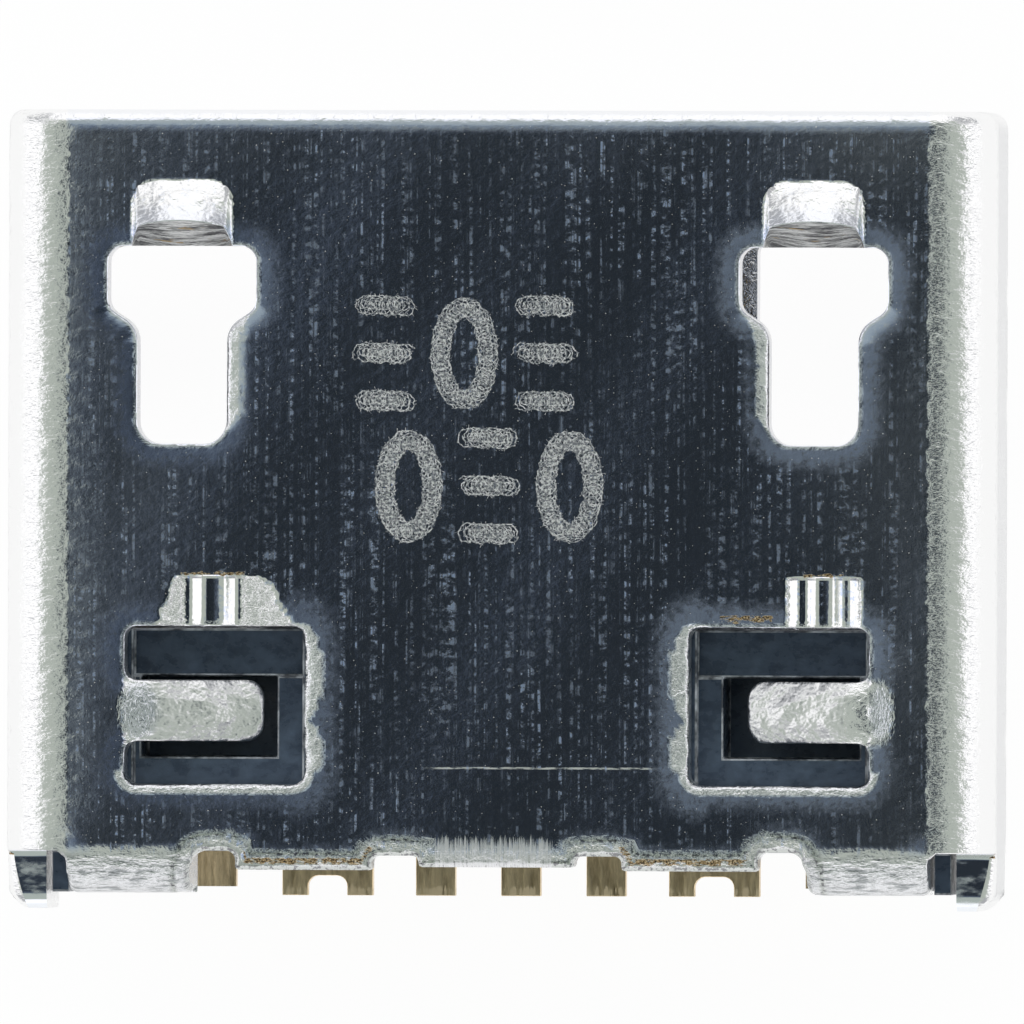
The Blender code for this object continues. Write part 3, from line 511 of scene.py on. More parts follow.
edge_u, edge_v = np.abs(starts[:, 0]), starts[:, 1]
roll_width = np.full(len(starts), 0.17)
roll_drop = np.full(len(starts), 0.0015)
corner_radius = np.full(len(starts), 0.008)


def roll(here, width=None, drop=None, corner=None):
    """Give some of the edges a roll of another width and depth, or a rounder corner."""
    for values, value in ((roll_width, width), (roll_drop, drop), (corner_radius, corner)):
        if value is not None:
            values[here] = value


outermost, mouth_edge = loop_of == 0, edge_v < 0.001
in_finger_window = (edge_v > 3.7) & (edge_v < 5.3) & ~outermost
in_latch_window = (edge_v > 0.9) & (edge_v < 2.7) & ~outermost
roll(in_finger_window, corner=0.011)
inner_side = in_finger_window & (edge_u < 1.6)
lobe_joint, lobe_length = 4.614, 0.48
lobes = np.where(edge_v < lobe_joint, (edge_v - window_front) / (lobe_joint - window_front),
                 (edge_v - lobe_joint) / lobe_length)[inner_side]
lobes = np.sin(np.pi * np.clip(lobes, 0, 1)) ** 0.6
roll(inner_side, 0.13 * lobes + 0.02, 0.024 * lobes + 0.001, 0.026)
rear_side = in_finger_window & (edge_v > 5.0) & (edge_u < 2.9)
roll(rear_side, 0.07, 0.012, 0.03)
roll(in_latch_window & (edge_v > 2.45), corner=0.014)
roll(in_latch_window & (edge_v > 1.6) & (edge_v < 2.4) & (edge_u < latch_centre), drop=0.003, corner=0.03)
roll(in_latch_window & (edge_v > 1.48) & (edge_v < 1.75), drop=0.014, corner=0.016)
roll(mouth_edge, 0.22, 0.016, 0.105)
beside_finger = np.abs(edge_v - finger_centre) < finger_width / 2
roll(in_finger_window & (edge_u > 1.6) & (edge_u < 1.95) & beside_finger, corner=0.04)
for centre, width in stops:
    by_stop = in_finger_window & (edge_v < 3.93) & (np.abs(starts[:, 0] - centre) < width / 2 + 0.03)
    roll(by_stop, drop=0, corner=0.006)
roll(outermost & (edge_v > 5.7) & (np.abs(edge_u - tab_outer) < 0.02), corner=0.07)
back_edge = outermost & (edge_v > 5.4) & (edge_u < tab_inner)
roll(back_edge, 0.2, 0.026, 0.045)
ear_top_edge = outermost & (edge_v > housing_back + 0.01)
ear_top_edge &= (edge_u > tab_outer + 0.1) & (edge_u < wall_end)
ear_reach = np.clip((edge_v[ear_top_edge] - housing_back) / (ear_end - housing_back), 0, 1)
roll(ear_top_edge, corner=0.06 + 0.14 * ear_reach ** 1.5)
wander = 1 + 0.15 * np.sin(edge_v * 9 + starts[:, 0] * 5)
wander += np.where(inner_side, 0.25, 0.08) * np.sin(edge_v * 31 - starts[:, 0] * 43)
corner_radius *= np.where(mouth_edge | ear_top_edge, 1, wander)
roll_drop *= wander


def smooth(value):
    """A soft step from 0 to 1."""
    value = np.clip(value, 0, 1)
    return value * value * (3 - 2 * value)


def uneven(u, v):
    """An uneven wavering between -1 and 1, the same on every run."""
    first = np.sin(37 * u + 19 * v + 1.7 * np.sin(23 * v))
    second = np.sin(71 * v - 53 * u + 1.3 * np.sin(41 * u))
    return (first + 0.7 * second + 0.5 * np.sin(113 * u + 97 * v)) / 2.2


inner_stem = edge_u < latch_centre
stem_fade = smooth((edge_v - 1.52) / 0.1) * smooth((2.46 - edge_v) / 0.2) * in_latch_window
chamfer_width = 0.02 + 0.08 * stem_fade * inner_stem * (1 + 0.18 * uneven(starts[:, 0], edge_v))
chamfer_drop = 0.28 * (chamfer_width - 0.02) * inner_stem

lip_half, lip_front, lip_rise = 0.765 / 2, 0.53, 0.25
# Each stop's depth from its middle to its side, as (share of half its width, depth).
stop_profiles = (((0.0, 0.125), (0.2, 0.124), (0.34, 0.115), (0.66, 0.056), (0.75, 0.05), (0.97, 0.05),
                  (1.0, 0.046)),
                 ((0.0, 0.13), (0.14, 0.129), (0.22, 0.122), (0.46, 0.07), (0.5, 0.067), (0.66, 0.067),
                  (0.7, 0.06), (0.96, 0.004), (1.0, 0.0)))


def lip_inset(u, v):
    """How far a flat point lies inside the rounded outline of the nearer lip."""
    corner = 0.2
    across = np.abs(np.abs(u) - latch_centre) - lip_half + corner
    along = lip_front + corner - v
    outside = np.hypot(np.clip(across, 0, None), np.clip(along, 0, None))
    return corner - outside - np.minimum(np.maximum(across, along), 0)


def formed_height(u, v):
    """How far the wide face is pressed up into lips, or down into stops and their flanks."""
    aside = np.abs(np.abs(u) - latch_centre)
    along = np.clip((v - lip_front) / (latch_front - lip_front), 0, 1)
    inset = lip_inset(u, v)
    across = smooth((lip_half - aside) / 0.05) * smooth(inset / 0.03)
    crown = 0.62 + 0.5 * (1 - np.clip(aside / lip_half, 0, 1) ** 2)
    lip = (v < latch_front + 0.01) & (inset > 0)
    height = np.where(lip, lip_rise * (0.9 * along + 0.1 * along ** 6) * across * crown, 0.0)
    pressed = smooth((v - stop_front) / 0.02) * (v < window_front + 0.01)
    for (centre, width), profile in zip(stops, stop_profiles):
        offset = u - centre
        channel = -np.interp(np.abs(offset) / width * 2, *zip(*profile)) * pressed
        height = np.where((pressed > 0) & (np.abs(offset) < width / 2), channel, height)
    centre, width = stops[0]
    offset = u - centre
    back = np.clip((v - stop_front) / (window_front - stop_front), 0, 1)
    reach = np.where(offset > 0, 0.05 + 0.15 * back, 0.16 + 0.26 * back)
    beside, ahead = np.clip(np.abs(offset) - width / 2, 0, None), np.clip(stop_front + 0.09 - v, 0, None)
    flank = np.clip(1 - np.hypot(beside / reach, ahead / 0.13), 0, 1)
    flank = np.where(flank > 0.01, flank + 0.16 * uneven(u, v), 0) * pressed
    height = height - 0.034 * smooth(flank * 1.5) * (beside > 0) * (1 + 0.12 * uneven(v, u))
    root = np.clip(1 - np.hypot((u + finger_root + 0.02) / 0.16, (v - finger_centre) / 0.29), 0, 1)
    height = height - 0.022 * smooth(root * 1.4) * (u < 0)
    return height


def finger_place(a, v):
    """Whether flat points lie on a retention finger."""
    beside = np.abs(v - finger_centre) < finger_width / 2 + 0.02
    return beside & (a < finger_root) & (a > finger_tip - 0.03)


def folded(u, v, depth):
    """Where points of the blank, at a depth into the sheet from its inner face, come to lie."""
    a = np.abs(u)
    side = np.where(u >= 0, 1.0, -1.0)
    height, step = formed_height(u, v), 0.003
    slope = np.where(height > 0, (height - formed_height(u, v - step)) / step, 0)
    size = np.sqrt(1 + slope ** 2)
    turned = smooth((v - lip_front) / 0.3)
    x, y = u.copy(), v - slope / size * depth * turned
    z = mouth_top + height + depth * (1 + (1 / size - 1) * turned)
    bent = a > side_bend[0]
    across, down = section.at(a[bent], depth[bent])
    x[bent], y[bent], z[bent] = side[bent] * across, v[bent], down
    near_leg = np.min([np.abs(v - centre) for centre in leg_centres], axis=0)
    on_leg = (near_leg < (leg_width + leg_relief) / 2) & (a > wall_end) & (a < leg_tip + 0.1)
    across, down = leg.at(leg.bends[0][0] + a[on_leg] - wall_end, depth[on_leg])
    x[on_leg], z[on_leg] = side[on_leg] * across, down
    on_tab = (a > tab_inner - 0.03) & (a < tab_outer + 0.03) & (v > tab_bend[0])
    along, down = back_tab.at(v[on_tab], depth[on_tab])
    x[on_tab], y[on_tab], z[on_tab] = u[on_tab], along, down
    on_finger = finger_place(a, v)
    across, down = finger.at(finger_root - a[on_finger], depth[on_finger])
    x[on_finger], y[on_finger] = side[on_finger] * (finger_root - across), v[on_finger]
    z[on_finger] = down
    return np.column_stack([x, y, z])


u, v = flat[:, 0], flat[:, 1]
number, gap = nearest_edge(flat)
rolled = np.clip(1 - gap / roll_width[number], 0, 1)
a = np.abs(u)
radius = corner_radius[number]
finger_area = finger_place(a, v)
corner_drop = radius - np.sqrt(radius ** 2 - np.clip(radius - gap, 0, None) ** 2 * 0.94)
bump_shape = np.exp(-((a - 2.19) / 0.13) ** 2 - ((v - 4.53) / 0.1) ** 2) * (a < finger_root)
waves = 0.0016 * (np.sin(u * 1.9 + 0.6) * np.sin(v * 1.3) + 0.5 * np.sin(u * 4.1 - v * 2.3)) * (a < 3.2)
droop = 0.0036 * smooth((a - 3.17) / 0.2) * np.where(u > 0, 1, 0.3)
finger_crown = 0.045 * np.clip(np.abs(v - finger_centre) / finger_width * 2, 0, 1) ** 2.2
outer_depth = sheet - roll_drop[number] * rolled ** 3 - corner_drop + waves - droop
outer_depth += 0.02 * bump_shape - finger_crown * finger_area
outer_depth -= chamfer_drop[number] * np.clip(1 - gap / chamfer_width[number], 0, 1)
outer = folded(u, v, outer_depth)
inner = folded(u, v, np.zeros(len(u)))

# How strongly each finish shows on the sheet: 0 for none and 1 for full, and peel, the rough skin of
# stretched plating, up to 1.8.

height = formed_height(u, v)
at_back, at_mouth = back_edge[number], mouth_edge[number]
tab_area = (a > tab_inner - 0.02) & (a < tab_outer + 0.1)
lip_area = (v < latch_front + 0.02) & (lip_inset(u, v) > 0)
formed = (v > stop_front) & (v < window_front) & (height < -0.001)
pressed_flat = smooth(-height / 0.01) * (v > 3.4)
for centre, width in stops:
    pressed_flat *= np.abs(u - centre) > width / 2 - 0.03
inner_roll = inner_side[number] & (gap < roll_width[number]) | rear_side[number] & (gap < 0.08)
on_chamfer = (chamfer_drop[number] > 0.002) * smooth((chamfer_width[number] - gap) / 0.012)
root_place = np.where(u > 0, finger_root - 0.09, finger_root + 0.09)
root_reach = np.where(u > 0, 0.14, 0.1)
wrinkle = smooth(1.3 - np.hypot((a - root_place) / root_reach, (v - finger_centre) / 0.24) ** 2)

strain = np.maximum.reduce([
    smooth((a - side_bend[0] + 0.05) / 0.02), smooth((0.095 - v) / 0.02) * 0.9, 0.8 * lip_area,
    pressed_flat, 0.7 * smooth((0.045 - gap) / 0.03) * (a < 3.2),
    smooth(-height / 0.004) * (u < 0) * (v > 4), 1.0 * finger_area, 0.9 * inner_roll,
    0.9 * on_chamfer, smooth((v - tab_bend[0] - 0.01) / 0.05) * tab_area])
strain = strain * (1 - 0.5 * wrinkle * (u > 0))
plain_wall = np.maximum(smooth((a - side_bend[1]) / 0.12) * smooth((gap - 0.05) / 0.1),
                        0.9 * at_back * smooth((0.055 - gap) / 0.02))
soft = np.maximum(finger_area * smooth((finger_root - 0.06 - a) / 0.15), 0.8 * lip_area)
# The back tabs' rippled bend: a relief of folds, and a painted shade that greys the bend's colour and
# darkens its folds.
ripple_and_shade = smooth((v - tab_bend[0] - 0.02) / 0.1) * tab_area
ripple_and_shade = ripple_and_shade * (1 - 0.85 * smooth((v - tab_bend[1]) / 0.2))
rim = np.clip(1 - gap / np.where(at_mouth, 0.2, np.where(inner_side[number], 0.42, 0.29)), 0, 1)
rim = np.where(at_mouth, np.clip(rim * 1.8, 0, 1), rim)
rim = np.where(formed | finger_area, 0, rim) * (1 - wrinkle)
rim = rim * (1 - 0.75 * at_back * smooth((0.13 - gap) / 0.06))
peel = np.maximum.reduce([
    1.8 * pressed_flat * (1 - smooth((v - 4.0) / 0.1)), 0.3 * finger_area, 0.7 * on_chamfer,
    1.1 * inner_roll, 0.2 * lip_area,
    0.75 * smooth((a - side_bend[0] + 0.02) / 0.04) * smooth((side_bend[1] - a) / 0.1),
    1.2 * at_back * smooth((0.17 - gap) / 0.05) * smooth((gap - 0.03) / 0.03)])
frayed = smooth((0.52 - np.abs(u - 0.02)) / 0.1) * smooth((v - 5.36) / 0.2)
waver = uneven(u, v)
# Painted dark reflection: a near-black mottled band along the back edge between the tabs, the darkness
# that the plate shows by mirroring the dark opening overhead.
painted_dark_band = np.maximum.reduce([
    at_back * smooth((gap - 0.09) / 0.025) * smooth((0.17 - gap) / 0.05) * (1 - smooth((0.6 - a) / 0.1)),
    0.8 * at_back * (a < 0.57) * smooth((0.019 - np.abs(gap - 0.041)) / 0.014),
    0.7 * at_back * smooth((0.045 - gap) / 0.02)])
back_line = smooth((gap - 0.025) / 0.02) * smooth((0.14 - gap) / 0.045)
window_line = smooth((0.06 + 0.015 * waver - np.abs(v - 3.83)) / 0.04)
bare = [(0.62 + 0.08 * waver) * at_back * back_line * smooth((0.6 - np.abs(a - 1.42)) / 0.14),
        0.52 * tab_area * smooth((0.08 - np.abs(v - 5.665)) / 0.06) * (a > tab_inner),
        0.62 * window_line * smooth((0.26 - np.abs(u + 1.89)) / 0.08)]
for centre, width in stops:
    half_line = width * (0.6 if centre > 0 else 0.35)
    line_place = v - stop_front + 0.016 + 0.006 * uneven(u, 1)
    stop_line = smooth((0.028 + 0.012 * uneven(u, 0) - np.abs(line_place)) / 0.02)
    bare.append(0.62 * stop_line * smooth((half_line - np.abs(u - centre)) / 0.06))
wall_height = section.at(a, np.zeros(len(a)))[1]
bare.append(0.8 * ((np.abs(wall_height - ear_top) < 0.03) & (np.abs(v - housing_back - 0.025) < 0.02)))
haze = smooth((a - 1.4) / 2.4) * 0.5 + 0.2 * smooth((0.9 - v) / 0.9)
masks = dict(rim=rim, strain=strain, wrinkle=wrinkle, ripple_and_shade=ripple_and_shade, frayed=frayed,
             torn_off=np.maximum.reduce(bare), haze=haze, peel=peel, painted_dark_band=painted_dark_band,
             plain_wall=plain_wall, soft=soft)
inside_too = ("rim", "strain", "torn_off", "haze", "plain_wall")

count = len(flat)
half_edges = np.vstack([triangles[:, [0, 1]], triangles[:, [1, 2]], triangles[:, [2, 0]]])
forward = set(map(tuple, half_edges.tolist()))
border = sorted((p, q) for p, q in forward if (q, p) not in forward)
walls = [(q, p, p + count, q + count) for p, q in border]
faces = triangles.tolist() + (triangles[:, ::-1] + count).tolist() + walls
vertices = (np.vstack([outer, inner]) + (0, -ear_end / 2, leg_drop)) * MM
shell = built("shell_sheet", vertices.tolist(), [], faces)
shell_mesh = shell.data
plate_slot, torn_slot, cut_slot, polished_slot = range(4)
wall_slots = []
for p, q in border:
    on_ear_top = v[p] > housing_back + 0.01 and tab_outer + 0.1 < a[p] < wall_end
    on_lip_end = abs(v[p] - latch_front) < 0.012 and abs(a[p] - latch_centre) < 0.5
    wall_slots.append(polished_slot if on_ear_top else torn_slot if on_lip_end else cut_slot)
shell_mesh.polygons.foreach_set("material_index", [plate_slot] * (2 * len(triangles)) + wall_slots)
blank_map, blank_map_size = shell_mesh.uv_layers.new(name="blank"), 10
corner_vertex = np.empty(len(shell_mesh.loops), int)
shell_mesh.loops.foreach_get("vertex_index", corner_vertex)
blank_map.data.foreach_set("uv", (np.vstack([flat, flat])[corner_vertex] / blank_map_size).ravel())
for name, values in masks.items():
    attribute = shell_mesh.attributes.new(name, "FLOAT", "POINT")
    below = values if name in inside_too else np.zeros(count)
    attribute.data.foreach_set("value", np.concatenate([values, below]).astype(np.float32))
shell_mesh.shade_smooth()
shell_mesh.set_sharp_from_angle(angle=math.radians(38))
cut_edges = {tuple(sorted(pair)) for pair in border}
cut_edges |= {(p + count, q + count) for p, q in cut_edges}
for edge in shell_mesh.edges:
    if tuple(sorted(edge.vertices)) in cut_edges:
        edge.use_edge_sharp = True


def noise(place, stretch, detail, roughness):
    """Noise on a stretched copy of some coordinates; one number stretches all three ways."""
    stretch = stretch if isinstance(stretch, tuple) else (stretch,) * 3
    stretched = place.recipe.node("Mapping", {"Vector": place, "Scale": stretch})
    return place.recipe.node("TexNoise", {"Vector": stretched, "Scale": 1.0, "Detail": detail,
                                          "Roughness": roughness}, out="Fac")


def on_piece(recipe):
    """Places on the piece itself."""
    return recipe.node("TexCoord", {}, out="Object")


def dress(recipe, colour, roughness, metallic=1.0, relief=None, depth=0.0, ior=None):
    """Give a finish its looks, and a relief of some depth in millimetres."""
    inputs = recipe.tree.nodes["Principled BSDF"].inputs
    recipe.feed(inputs["Base Color"], colour)
    recipe.feed(inputs["Roughness"], roughness)
    inputs["Metallic"].default_value = metallic
    if relief:
        recipe.feed(inputs["Normal"], recipe.node("Bump", {"Distance": depth * MM, "Height": relief}))
    if ior:
        inputs["IOR"].default_value = ior


nickel, plate = new_finish("nickel_plate")
blank = plate.node("UVMap", {}, uv_map="blank")
blank_u, blank_v, _ = plate.parts(blank)
worn = {name: plate.node("Attribute", {}, out="Fac", attribute_name=name) for name in masks}

columns = plate.ramp(noise(blank, (260, 4, 1), 2, 0.6), (0.49, 0.0), (0.6, 1.0))
breaks = plate.ramp(noise(blank, (110, 150, 1), 3, 0.7), (0.49, 0.0), (0.6, 1.0))
clumps = plate.ramp(noise(blank, (12, 8, 1), 2, 0.5), (0.3, 0.3), (0.6, 1.0))
flecks = columns * breaks * clumps
dust = plate.ramp(noise(blank, (800, 800, 1), 0, 0.5), (0.845, 0.0), (0.865, 1.0))
halo_edge = noise(blank, (170, 170, 1), 4, 0.75) * 2.0 + -0.1
halo = plate.ramp(worn["rim"] * halo_edge, (0.2, 0.0), (0.62, 1.0))
film = noise(blank, (9, 7, 1), 3, 0.5)
clumped = noise(blank, (170, 420, 1), 4, 0.7)
bronze = plate.ramp(worn["torn_off"] * (clumped + 0.5), (0.54, 0.0), (0.6, 1.0))
bronze_grains = plate.ramp(noise(blank, (560, 760, 1), 3, 0.7), (0.40, (0.02, 0.022, 0.03)),
                           (0.47, (0.24, 0.17, 0.09)), (0.55, (0.70, 0.50, 0.27)),
                           (0.64, (0.95, 0.88, 0.72)))
# The mottle of near-black and grey for that painted dark reflection along the back edge.
painted_dark_mottle = plate.ramp(noise(blank, (240, 300, 1), 3, 0.7), (0.42, (0.04, 0.04, 0.05)),
                  (0.5, (0.55, 0.58, 0.55)))
folds = noise(blank, (60, 330, 1), 3, 0.6)
# Painted shade: dark grey lines along the folds of the back tabs' bend.
painted_fold_shade = plate.ramp(folds, (0.36, 1.0), (0.5, 0.0))
fray = worn["frayed"] * 0.46 + noise(blank, (620, 16, 1), 4, 0.8)
fray = plate.ramp(fray - 0.35, (0.49, 0.0), (0.64, 1.0))
on_finger = plate.ramp(blank_v, (0.2, 0.0), (0.3, 1.0))

scratch_v, scratch_u, scratch_half_width, scratch_half_length = 0.4966, -0.033, 0.0007, 0.08
scratch_gap = plate.reckon("ABSOLUTE", blank_v + -scratch_v)
scratch_side = plate.reckon("ABSOLUTE", blank_u + -scratch_u)
scratch = plate.reckon("SUBTRACT", 1.6, scratch_gap * (1 / scratch_half_width)).at_least(0).at_most(1)
scratch *= plate.ramp(scratch_side, (scratch_half_length, 1.0), (scratch_half_length * 1.1, 0.0))
scratch *= plate.ramp(noise(blank, (90, 600, 1), 3, 0.7), (0.38, 0.0), (0.56, 1.0))

base = plate.mix(flecks, (0.93, 0.93, 0.92), (0.58, 0.70, 1.0))
# Painted shade among these colours: the grey over the back tabs' rippled bend and the dark lines along
# its folds.
for mask, colour in ((halo, (0.66, 0.74, 0.95)), (worn["strain"], 0.95),
                     (worn["plain_wall"], (0.74, 0.745, 0.76)), (bronze, bronze_grains),
                     (dust, (0.95, 0.95, 0.93)), (worn["ripple_and_shade"], (0.80, 0.81, 0.83)),
                     (worn["wrinkle"] * 0.7, (0.68, 0.71, 0.78)), (worn["painted_dark_band"], painted_dark_mottle),
                     (painted_fold_shade * worn["ripple_and_shade"], (0.34, 0.36, 0.37)), (fray, (0.90, 0.90, 0.92))):
    base = plate.mix(mask, base, colour)
rough = plate.mix(worn["haze"] * film, 0.08, 0.3)
for mask, roughness in ((flecks, 0.31), (halo, plate.ramp(blank_u, (0.08, 0.235), (0.2, 0.17))),
                        (worn["strain"], 0.16), (worn["soft"], plate.mix(on_finger, 0.2, 0.3)),
                        (scratch, 0.5), (fray, 0.5), (bronze, 0.55), (dust, 0.9)):
    rough = plate.mix(mask, rough, roughness)

grain = (noise(blank, (330, 330, 1), 3, 0.65) - 0.5) * 0.45
grain += (noise(blank, (90, 130, 1), 4, 0.6) - 0.5) * 4.2
satin = plate.mix(worn["soft"], plate.mix(worn["strain"], 0.04, 0.6), 0.15)
relief = grain * worn["peel"].at_least(satin)
scales = noise(blank, (430, 170, 1), 2, 0.6)
swell = noise(blank, (52, 62, 1), 3, 0.55)
for shape, strength in ((scales, worn["wrinkle"] * 3.0), (folds, worn["ripple_and_shade"] * 6.0),
                        (swell, worn["soft"] * plate.mix(on_finger, 5.5, 8.0))):
    relief += (shape - 0.5) * strength
dress(plate, base, rough, relief=relief, depth=0.006)

torn, tear = new_finish("torn_edge")
place = on_piece(tear)
bands = noise(place, (3500, 3500, 42000), 4, 0.75)
warm = tear.ramp(noise(place, (3000, 3000, 24000), 3, 0.6), (0.62, 0.0), (0.66, 1.0))
grey = tear.ramp(bands, (0.36, (0.09, 0.09, 0.10)), (0.46, 0.45), (0.55, (0.98, 0.98, 0.97)))
dress(tear, tear.mix(warm, grey, (0.60, 0.45, 0.27)), 0.42, relief=bands, depth=0.01)

sheared, cut = new_finish("sheared_cut")
smear = noise(on_piece(cut), 9000, 3, 0.6)
dress(cut, cut.ramp(smear, (0.3, (0.74, 0.76, 0.80)), (0.65, (0.90, 0.90, 0.91))),
      cut.mix(smear, 0.22, 0.34))

ear_metal, polish = new_finish("polished_cut")
stain = noise(on_piece(polish), (4000, 9000, 4000), 3, 0.6)
dress(polish, (0.90, 0.93, 0.97), polish.ramp(stain, (0.5, 0.1), (0.68, 0.4)))

for finish in (nickel, torn, sheared, ear_metal):
    shell_mesh.materials.append(finish)
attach(shell, "root")
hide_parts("shell")

# The housing: black glass-filled plastic, moulded in one piece with the contact tongue, finger
# pockets and corner posts. Its mould edges are slightly round and its skin faintly glossy.


def plain_mesh(live):
    """The finished mesh of an object with live modifiers, which it then keeps as its own."""
    whole = bpy.data.meshes.new_from_object(live.evaluated_get(bpy.context.evaluated_depsgraph_get()))
    live.modifiers.clear()
    live.data = whole
    return whole


def eased_copy(node, name, width, segments):
    """A copy of a CAD node with its flat faces joined and its sharp edges eased."""
    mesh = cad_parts[node].data.copy()
    mesh.name = name
    mesh.materials.clear()
    mesh.materials.append(None)
    mesh.materials.append(None)
    shape = bmesh.new()
    shape.from_mesh(mesh)
    bmesh.ops.scale(shape, vec=(1 / MM, 1 / MM, 1 / MM), verts=shape.verts)
    bmesh.ops.remove_doubles(shape, verts=shape.verts, dist=1e-4)
    bmesh.ops.dissolve_limit(shape, angle_limit=math.radians(1), verts=shape.verts, edges=shape.edges)
    bmesh.ops.triangulate(shape, faces=shape.faces)
    shape.to_mesh(mesh)
    shape.free()
    eased = placed(name, mesh)
    bevel = eased.modifiers.new("eased edges", "BEVEL")
    bevel.width = width
    bevel.use_clamp_overlap = False
    bevel.segments = segments
    bevel.limit_method = "ANGLE"
    bevel.angle_limit = math.radians(35)
    bevel.material = 1
    whole = plain_mesh(eased)
    whole.transform(Matrix.Scale(MM, 4))
    for face in whole.polygons:
        face.use_smooth = face.material_index == 1
    return eased


plastic, skin = new_finish("black_moulding")
place = on_piece(skin)
flow = noise(place, (7000, 9000, 9000), 4, 0.6)
blotch = skin.ramp(flow * (noise(place, 1800, 3, 0.6) + 0.5), (0.3, 0.0), (0.75, 1.0))
# Painted light: a band across the rear of the housing, set by distance along it, takes the paler copy of
# the plastic's colour, as though lit more brightly there.
lengthways, ramp_span = skin.parts(place)[1], 5 * MM
painted_light_band = skin.ramp(lengthways * (1 / ramp_span), (0.28, 0.0), (0.38, 1.0), (0.43, 1.0), (0.47, 0.0))
dark = skin.mix(blotch, (0.034, 0.050, 0.080), (0.074, 0.108, 0.165))
pale = skin.mix(blotch, (0.06, 0.085, 0.13), (0.13, 0.18, 0.26))
dress(skin, skin.mix(painted_light_band, dark, pale), skin.mix(blotch, 0.22, 0.38), metallic=0.0,
      relief=flow, depth=0.006, ior=1.5)

# Painted highlight: the eased mould edges get a pale grey in patches, standing in for light caught along
# the edges of the black plastic.
highlight_edge_plastic, edge_highlight = new_finish("painted_highlight_mould_edge")
highlight_patches = noise(on_piece(edge_highlight), 5000, 3, 0.7)
dress(edge_highlight, edge_highlight.ramp(highlight_patches, (0.4, (0.03, 0.04, 0.06)), (0.62, (0.60, 0.64, 0.70))), 0.3,
      metallic=0.0, ior=1.7)

mould_edge, mould_edge_steps = 0.014, 2
housing = eased_copy("housing", "housing_moulding", mould_edge, mould_edge_steps)
housing.data.materials[0] = plastic
housing.data.materials[1] = highlight_edge_plastic
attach(housing, "root")
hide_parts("housing")

# The contacts and solder anchors: copper alloy strip, gold-plated, stamped and bent down to the
# board. The tails' cut ends show pale shear streaks. The anchors end under the back tabs.

shear_reach, shear_steepness = 0.13, 12000
anchor_inset = 0.035
strip_edge, strip_edge_steps = 0.004, 1

gold, leaf = new_finish("gold_plate")
place = on_piece(leaf)
tone = noise(place, (14000, 3000, 14000), 4, 0.65)
tail_end = max(vertex.co.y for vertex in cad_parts["contact_supply"].data.vertices)
shear = (leaf.parts(place)[1] - (tail_end - shear_reach * MM)) * shear_steepness
shear = shear.at_least(0).at_most(1)
streaks = noise(place, (30000, 2500, 3000), 3, 0.7) + shear * 0.35
streaks = leaf.ramp(streaks, (0.8, 0.0), (0.88, 1.0))
colour = leaf.ramp(tone, (0.3, (0.53, 0.40, 0.22)), (0.6, (0.98, 0.78, 0.48)))
dress(leaf, leaf.mix(streaks, colour, (0.98, 0.84, 0.60)),
      leaf.mix(streaks, leaf.mix(tone, 0.22, 0.4), 0.7), relief=tone, depth=0.004)
for node in ("contact_supply", "contact_data_minus", "contact_data_plus", "contact_id",
             "contact_ground", "anchor_left", "anchor_right"):
    strip = eased_copy(node, node + "_strip", strip_edge, strip_edge_steps)
    strip.data.materials[0] = strip.data.materials[1] = gold
    if node.startswith("anchor"):
        for vertex in strip.data.vertices:
            vertex.co.y = min(vertex.co.y, (tab_face + sheet - anchor_inset - ear_end / 2) * MM)
    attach(strip, "root")
    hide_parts(node)

# The laser marking: two rows of plain rings and level bars, a pattern that spells nothing. A laser
# draws each stroke as a run of small overlapping loops. It throws up a thin pale bead, with fine
# bristles of splashed metal.

mark_top = mouth_top + sheet + leg_drop
mark_radius, bead_radius, bead_sides = 0.08, 0.0042, 4
point_step, loop_step = 0.0013, 0.23
hair_length, hair_radius, hair_gap_share = 0.05, 0.0018, 0.25
figure_pitch, ring_width, ring_height, bar_half, bar_rise = 0.61, 0.18, 0.35, 0.17, 0.36
strokes = []
for row_v, row_u, shapes in ((1.84, 0.0, "bars ring bars"), (2.84, 0.19, "ring bars ring")):
    for number, shape in enumerate(shapes.split()):
        middle = -(-0.86 + figure_pitch * number + row_u)
        if shape == "ring":
            turns = np.linspace(0, 2 * np.pi, 60)
            strokes.append(np.column_stack([middle + ring_width * np.cos(turns),
                                            row_v + ring_height * np.sin(turns)]))
        else:
            for level in (row_v - bar_rise, row_v, row_v + bar_rise):
                strokes.append(np.array([(middle - bar_half, level), (middle + bar_half, level - 0.01)]))
line_points, line_edges = [], []
for stroke in strokes:
    first = len(line_points)
    line_points += [(x * MM, (y - ear_end / 2) * MM, mark_top * MM) for x, y in stroke]
    line_edges += [(first + k, first + k + 1) for k in range(len(stroke) - 1)]
mark_lines = built("mark_lines", line_points, line_edges, [])

laser = Recipe(bpy.data.node_groups.new("laser_loops", "GeometryNodeTree"))
sockets = laser.tree.interface
sockets.new_socket("Geometry", in_out="INPUT", socket_type="NodeSocketGeometry")
for name, kind, value in (
        ("Loop radius", "Float", mark_radius * MM), ("Bead radius", "Float", bead_radius * MM),
        ("Step", "Float", point_step * MM), ("Turn per step", "Float", loop_step),
        ("Hair length", "Float", hair_length * MM), ("Seed", "Int", 4)):
    sockets.new_socket(name, in_out="INPUT", socket_type="NodeSocket" + kind)
    sockets.items_tree[name].default_value = value
sockets.new_socket("Finish", in_out="INPUT", socket_type="NodeSocketMaterial")
sockets.new_socket("Geometry", in_out="OUTPUT", socket_type="NodeSocketGeometry")
given = {socket.name: Value(laser, socket) for socket in laser.add("NodeGroupInput", {}).outputs}


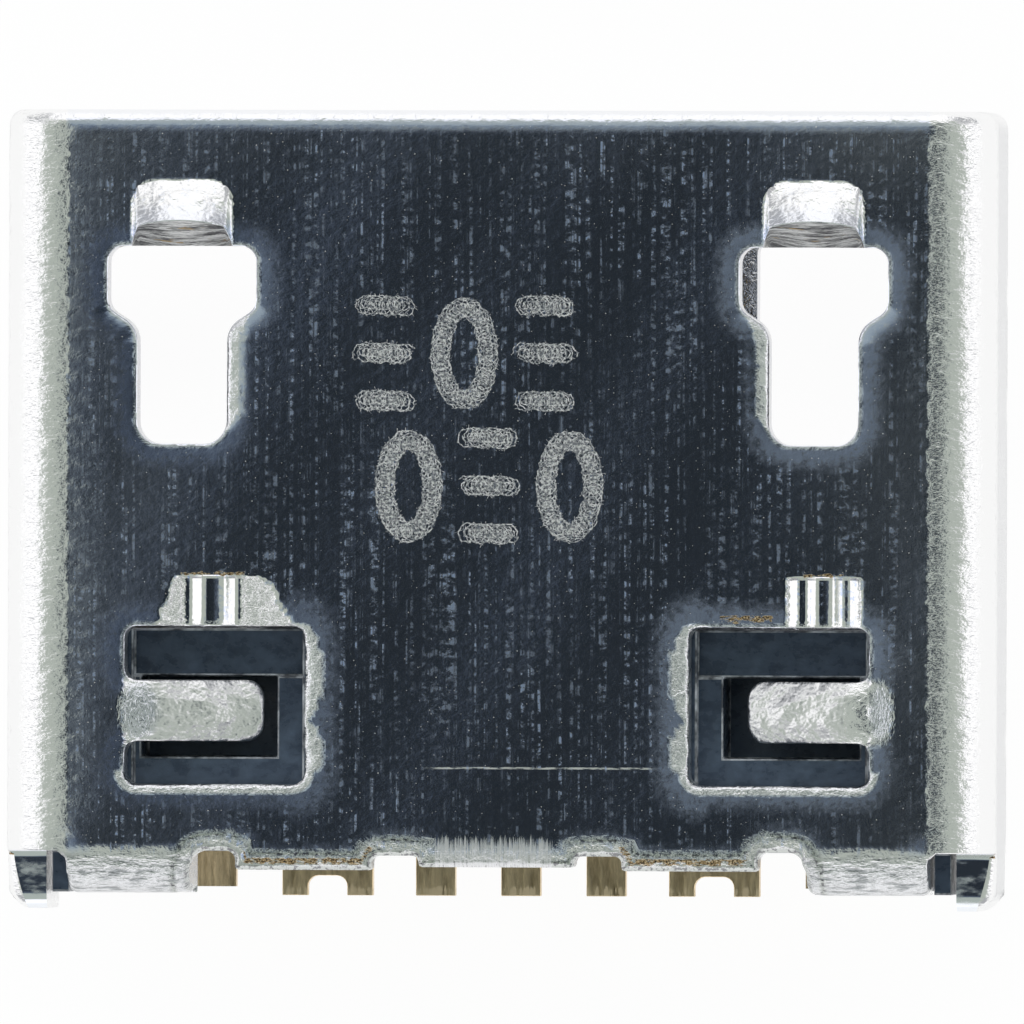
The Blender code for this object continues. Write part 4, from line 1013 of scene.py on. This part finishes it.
def chance(low, high, seed):
    """A random number for each point, from a seed of its own."""
    return laser.node("FunctionNodeRandomValue", {2: low, 3: high, "Seed": given["Seed"] + seed}, out=1,
                      data_type="FLOAT")


def joined(*geometries):
    """Several geometries as one, in the order given."""
    made = laser.add("GeometryNodeJoinGeometry", {})
    for geometry in geometries:
        laser.feed(made.inputs[0], geometry)
    return Value(laser, made.outputs[0])


paths = laser.node("GeometryNodeMeshToCurve", {"Mesh": given["Geometry"]})
fine_paths = laser.node("GeometryNodeResampleCurve", {"Curve": paths, "Length": given["Step"]},
                        mode="LENGTH")
index = laser.node("GeometryNodeInputIndex", {})
angle = index * given["Turn per step"]
wobble = laser.reckon("SINE", index * 0.171) * 0.07
reach = given["Loop radius"] * (wobble + chance(-0.1, 0.1, 7) + 0.86)
passes = []
for size, turning in ((1.0, 1.0), (0.45, -1.17)):
    turned_angle, arm = angle * turning, reach * size
    offset = laser.node("CombineXYZ", {0: arm * laser.reckon("COSINE", turned_angle),
                                       1: arm * laser.reckon("SINE", turned_angle)})
    passes.append(laser.node("GeometryNodeSetPosition", {"Geometry": fine_paths, "Offset": offset}))
passes = joined(*passes)
profile = laser.node("GeometryNodeCurvePrimitiveCircle", {"Resolution": bead_sides,
                                                          "Radius": given["Bead radius"]})
beads = laser.node("GeometryNodeCurveToMesh", {"Curve": passes, "Profile Curve": profile})

hair_gap = given["Hair length"] * hair_gap_share
roots = laser.node("GeometryNodeCurveToPoints", {0: passes, "Length": hair_gap}, mode="LENGTH")
hair = laser.node("GeometryNodeMeshCylinder", {"Vertices": 3, "Radius": hair_radius * MM,
                                               "Depth": given["Hair length"]}, fill_type="NONE")
lean = laser.node("CombineXYZ", {0: chance(1.25, 1.9, 1), 2: chance(0.0, 6.28, 2)})
stretch = laser.reckon("POWER", chance(0.0, 1.0, 3), 3.0) * 1.2 + 0.2
tufts = laser.node("GeometryNodeInstanceOnPoints", {
    "Points": roots, "Instance": hair, "Rotation": lean,
    "Scale": laser.node("CombineXYZ", {0: 1.0, 1: 1.0, 2: stretch})})
realized = laser.node("GeometryNodeRealizeInstances", {"Geometry": joined(tufts, beads)})
finished = laser.node("GeometryNodeSetMaterial", {"Geometry": realized, "Material": given["Finish"]})
laser.add("NodeGroupOutput", {0: finished})

bead_metal, bead = new_finish("laser_bead")
ash = noise(on_piece(bead), 55000, 2, 0.6)
dress(bead, bead.ramp(ash, (0.42, (0.30, 0.32, 0.35)), (0.58, (0.99, 0.99, 1.0))), 0.6, metallic=0.2)
modifier = mark_lines.modifiers.new("laser_loops", "NODES")
modifier.node_group = laser.tree
modifier[sockets.items_tree["Finish"].identifier] = bead_metal
plain_mesh(mark_lines).shade_smooth()
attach(mark_lines, "root")
